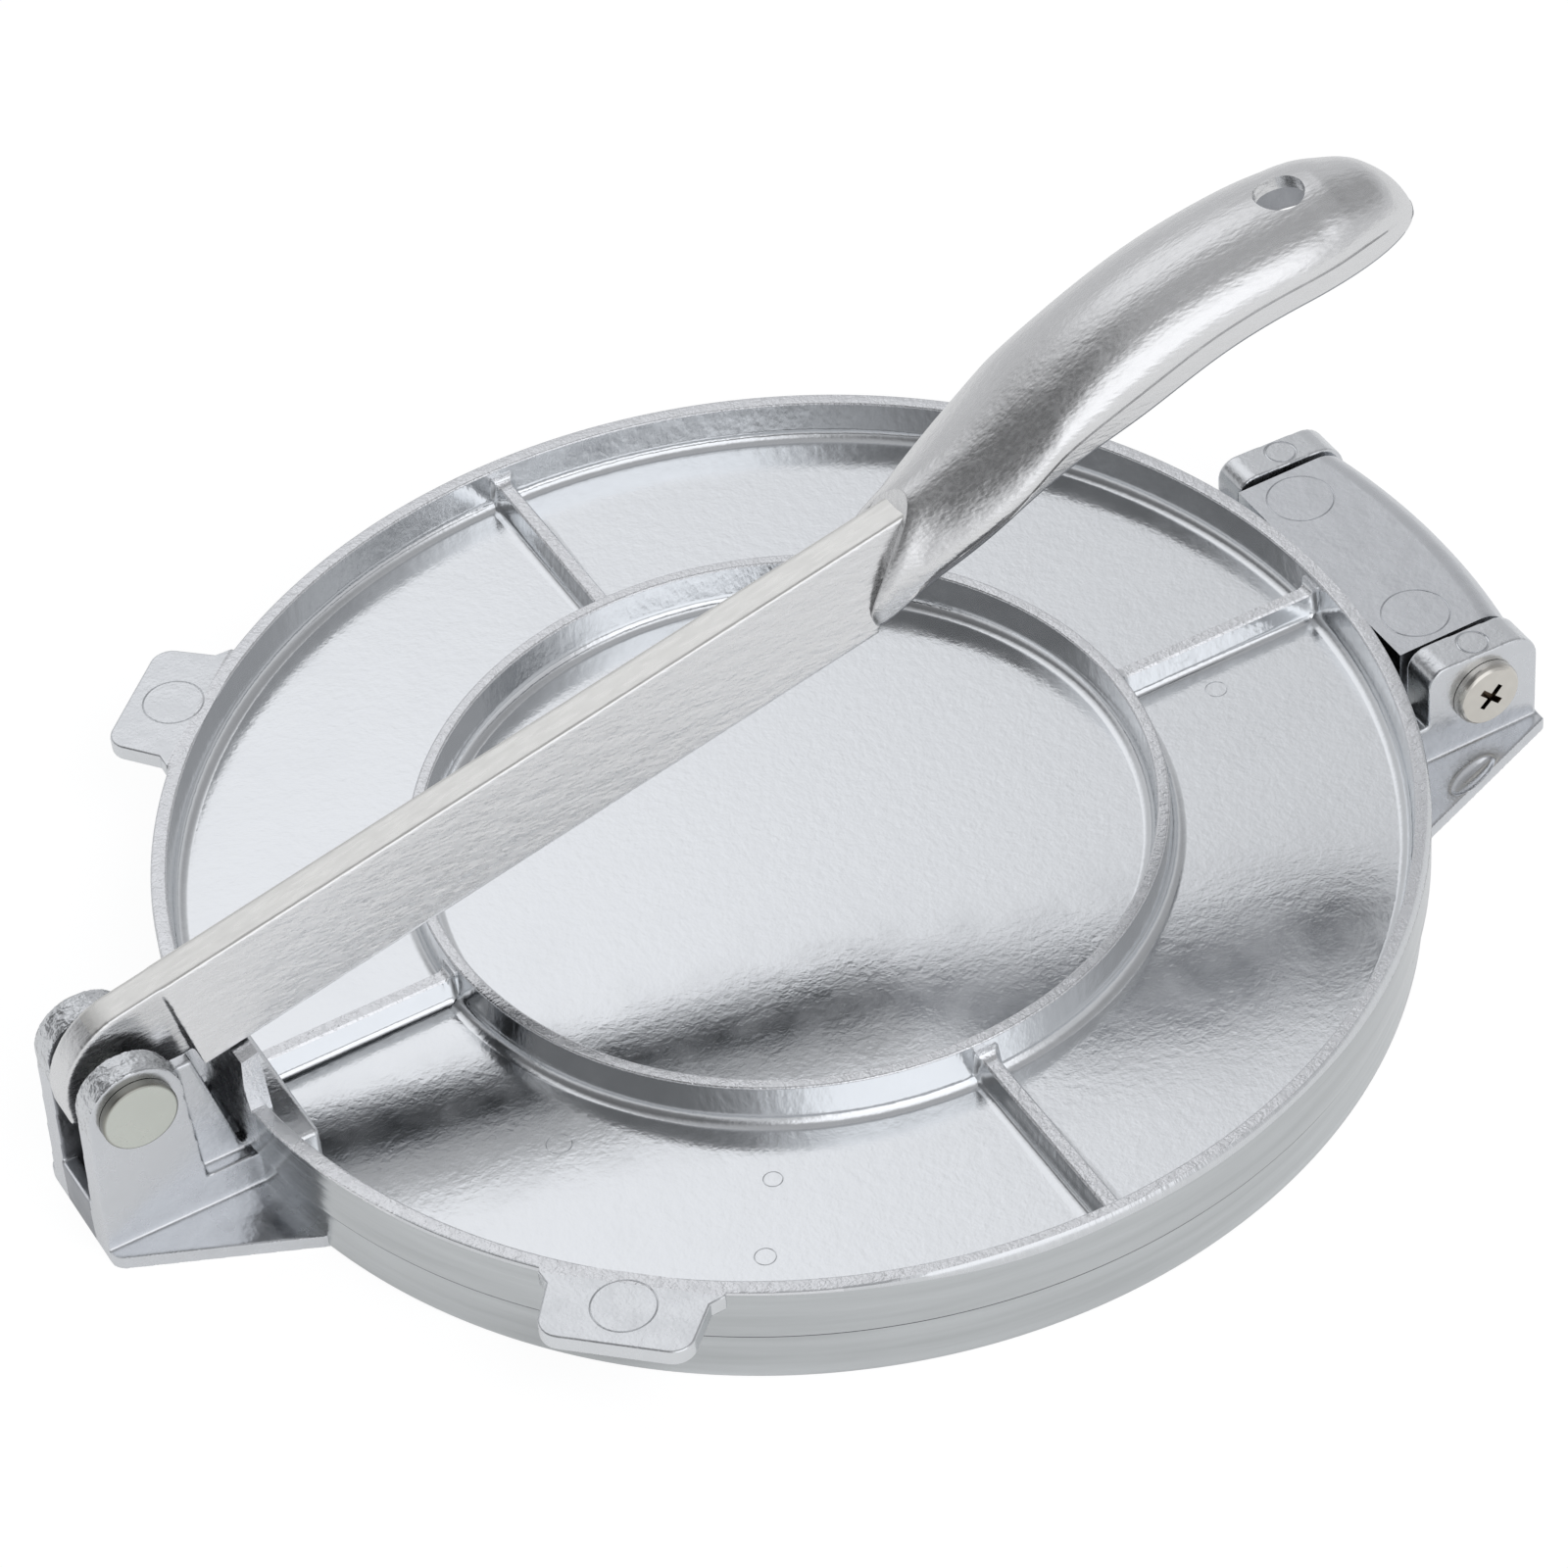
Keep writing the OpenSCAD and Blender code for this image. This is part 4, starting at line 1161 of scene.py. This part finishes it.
# %% Nickel for the pins
head_r, recess_r = 6.1 * MM, 2.7 * MM


def off_axis(tree, place, pin):
    """Distance from a pin's axis."""
    flat = node(tree, "VectorMath", MULTIPLY, i0=place, i1=(1, 0, 1))
    return node(tree, "VectorMath", {"operation": "DISTANCE"}, i0=flat,
                i1=(pin.x, 0, pin.z)).outputs["Value"]


def in_recess(tree, place):
    """1 in the hinge screw's cross recess, 0 on its face. The face lies at the screw's lowest Y."""
    face_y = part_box("hinge_pin_screw")[0][1]
    across = node(tree, "SeparateXYZ", Vector=place).outputs[1]
    deep = node(tree, "MapRange", Value=across, From_Min=face_y + 0.12 * MM, From_Max=face_y + 0.45 * MM)
    near = node(tree, "MapRange", Value=off_axis(tree, place, hinge), From_Min=recess_r + 0.7 * MM,
                From_Max=recess_r)
    return node(tree, "Math", MULTIPLY, i0=deep, i1=near)


def at_edge(tree, place):
    """Up to 0.6 at the edge of the lever pin's head, where the plating has browned."""
    return node(tree, "MapRange", Value=off_axis(tree, place, pivot), From_Min=head_r - 0.4 * MM,
                From_Max=head_r, To_Max=0.6)


dull_nickel = metal_finish("dull nickel-plated steel", "#d6d9d1", 0.3, [(4.0, 0.02), (0.5, 0.004)],
                           stain=0.95, soil=at_edge)
bright_nickel = metal_finish("bright nickel-plated steel", "#e0dcd4", 0.2, [(3.0, 0.03), (0.8, 0.01)],
                             mottle=2.0, stain=0.85, soil=in_recess)
for name, finish in (("lever_pin_barrel", dull_nickel), ("hinge_pin_barrel", dull_nickel),
                     ("lever_pin_screw", bright_nickel), ("hinge_pin_screw", bright_nickel)):
    pin = frame["nodes"][name]
    pin.data.materials.clear()
    pin.data.materials.append(finish)
    print(name, "is plated")

# %% [markdown]
# ## Painting the castings
#
# Each face gets its finish from where it is and which way it faces, in the way that a finisher would mask a
# casting. A rule is a finish and a test, and the first test that holds decides.

# %% Painting by place and direction
def paint(obj, rules, rest):
    """Gives each face the finish of the first rule whose test it passes, or else the rest."""
    finishes = list(dict.fromkeys([finish for finish, _ in rules] + [rest]))
    obj.data.materials.clear()
    for finish in finishes:
        obj.data.materials.append(finish)
    for face in obj.data.polygons:
        spot = face.center / MM
        chosen = next((finish for finish, test in rules if test(spot, face.normal)), rest)
        face.material_index = finishes.index(chosen)
    print(obj.name, "has", len(finishes), "finishes")


def facing_out(spot, normal):
    """How far a face looks away from the plates' axis: 1 is straight out, -1 straight in."""
    return (spot.x * normal.x + spot.y * normal.y) / max(1e-6, spot.xy.length)


print("a mask is a list of finishes and tests")

# %% [markdown]
# ## Painting the top plate
#
# All figures in the tests are millimetres. The seam, in a dark grey that is painted shade for the gap's
# shadow, and the underside come first, the lug's underside raw with a darker grey that is partly painted
# shade. Then come the lug, the pad with its block and the tabs, then the rim's filed edge, the crests and
# the outer wall. What is left is the web, which is polished like the die.

# %% Finishes of the top plate
edge_r, crest_z, web_z = plate_r / MM, rim_top / MM, web_top / MM
seam_low, lug_edge_y, pad_edge_y, block_edge_y = web_low / MM + 0.44, 24.2, 13, 21
top_rules = [
    # Painted shade: the seam band's dark grey stands in for the shadow in the gap between the plates.
    (painted_seam_shade, lambda p, n: p.z < seam_low and p.xy.length > edge_r - 0.6 and n.z < 0.3),
    # Raw skin under the lug: its darker grey is partly painted shade.
    (raw_skin_and_shade, lambda p, n: p.x > edge_r + 0.2 and p.z < crest_z - 1 and n.z < -0.3),
    (satin, lambda p, n: n.z < -0.5),
    (satin, lambda p, n: p.x > edge_r - 0.4 and abs(p.y) < lug_edge_y and p.z < crest_z + 0.01),
    (blasted, lambda p, n: p.x < -88 and abs(p.y) < pad_edge_y and p.z > crest_z + 0.05),
    (fine_blasted, lambda p, n: -99 < p.x < -93.2 and abs(p.y) < block_edge_y),
    (fine_blasted, lambda p, n: p.xy.length > edge_r + 0.1),
    (blasted, lambda p, n: p.x < -99.5 and abs(p.y) < pad_edge_y and p.z > web_z),
    (filed_edge, lambda p, n: p.xy.length > edge_r - 0.9 and crest_z - 2.1 < p.z
     and 0.2 < facing_out(p, n) < 0.97 and filed(atan2(p.y, p.x)) > 0.12),
    (blasted, lambda p, n: n.z > 0.25 and p.z > crest_z - 1.6 and p.xy.length > 50),
    (drawn_wall, lambda p, n: facing_out(p, n) > 0.7 and p.xy.length > edge_r - 0.8),
    (blasted, lambda p, n: n.z > 0.6 and web_z + 3.6 < p.z < crest_z - 1),
    (wall_polished, lambda p, n: abs(n.z) < 0.7),
]
paint(top, top_rules, polished)

# %% [markdown]
# ## Painting the base
#
# The disc's top edge gets the dark grey of the seam, which is painted shade for the gap's shadow. The eyes of
# the clevis are the only tumbled faces. The slot between its ears and all the hollows are raw, in a darker
# grey that is partly painted shade, the disc's outer wall is wiped, and the rest has the plain satin skin.

# %% Finishes of the base
pin_x, pin_z = pivot.x / MM, pivot.z / MM
disc_r, disc_z = base_r / MM, base_h / MM


def on_eye(spot, normal):
    """Is this a face on the round back of one of the clevis eyes?"""
    away = Vector((spot.x - pin_x, 0, spot.z - pin_z))
    return 6.9 < away.length < 8.4 and abs(spot.y) < 10.4 and away.normalized().dot(normal) > 0.35


base_rules = [
    # Painted shade: a dark grey band on the disc's top edge stands in for the seam's shadow.
    (painted_seam_shade, lambda p, n: disc_z - 0.34 < p.z < disc_z + 0.01
     and disc_r - 0.4 < p.xy.length < disc_r + 0.1),
    (tumbled, lambda p, n: on_eye(p, n) and p.z > pin_z - 4),
    # Raw skin in the slot, underneath and in the hollow: its darker grey is partly painted shade.
    (raw_skin_and_shade, lambda p, n: p.x < -105 and abs(p.y) < 5.1 and n.z < 0.6),
    (raw_skin_and_shade, lambda p, n: n.z < -0.5),
    (raw_skin_and_shade, lambda p, n: p.xy.length < disc_r - 1 and p.z < disc_z - 1),
    (drawn_wall, lambda p, n: facing_out(p, n) > 0.8 and disc_r - 1 < p.xy.length < disc_r + 0.1),
    (fine_blasted, lambda p, n: p.x > 95 and n.z > 0.5 and p.z > 16),
]
paint(base, base_rules, satin)

# %% [markdown]
# ## Painting the lever
#
# The lever lies at an angle, so its tests first turn each spot and direction back into the lever's own
# frame. Inside the channel and the shell it is raw, in a darker grey that is partly painted shade. The flat
# strip on top is brushed and the rest is silk.

# %% Finishes of the lever
bore_from, strip_end, silk_top = 14, 147.2, 11.2


def in_lever(spot, normal):
    """A spot and a direction seen in the lever's own frame: along it, across it and up from its pin."""
    laid_level = Matrix.Rotation(lever_tilt, 3, "Y")
    return laid_level @ (spot - pivot / MM), laid_level @ normal


def under_skin(spot, normal):
    """Is this a face inside the lever's channel or the grip's shell, but not the hanging hole's wall?"""
    p, n = in_lever(spot, normal)
    if hypot(p.x - hole_x / MM, p.y) < 5:
        return n.z < -0.35
    inwards = n.y * p.y < -0.2 * abs(p.y) and abs(p.y) > 0.4
    return n.z < -0.35 or (p.x > bore_from and inwards)


def on_strip(spot, normal):
    """Is this a face of the flat strip along the lever's top?"""
    p, n = in_lever(spot, normal)
    return n.z > 0.8 and p.z > silk_top and p.x < strip_end and abs(p.y) < 3.2


# Raw skin inside the channel and the shell: its darker grey is partly painted shade.
paint(lever, [(raw_skin_and_shade, under_skin), (lever_strip, on_strip)], lever_skin)
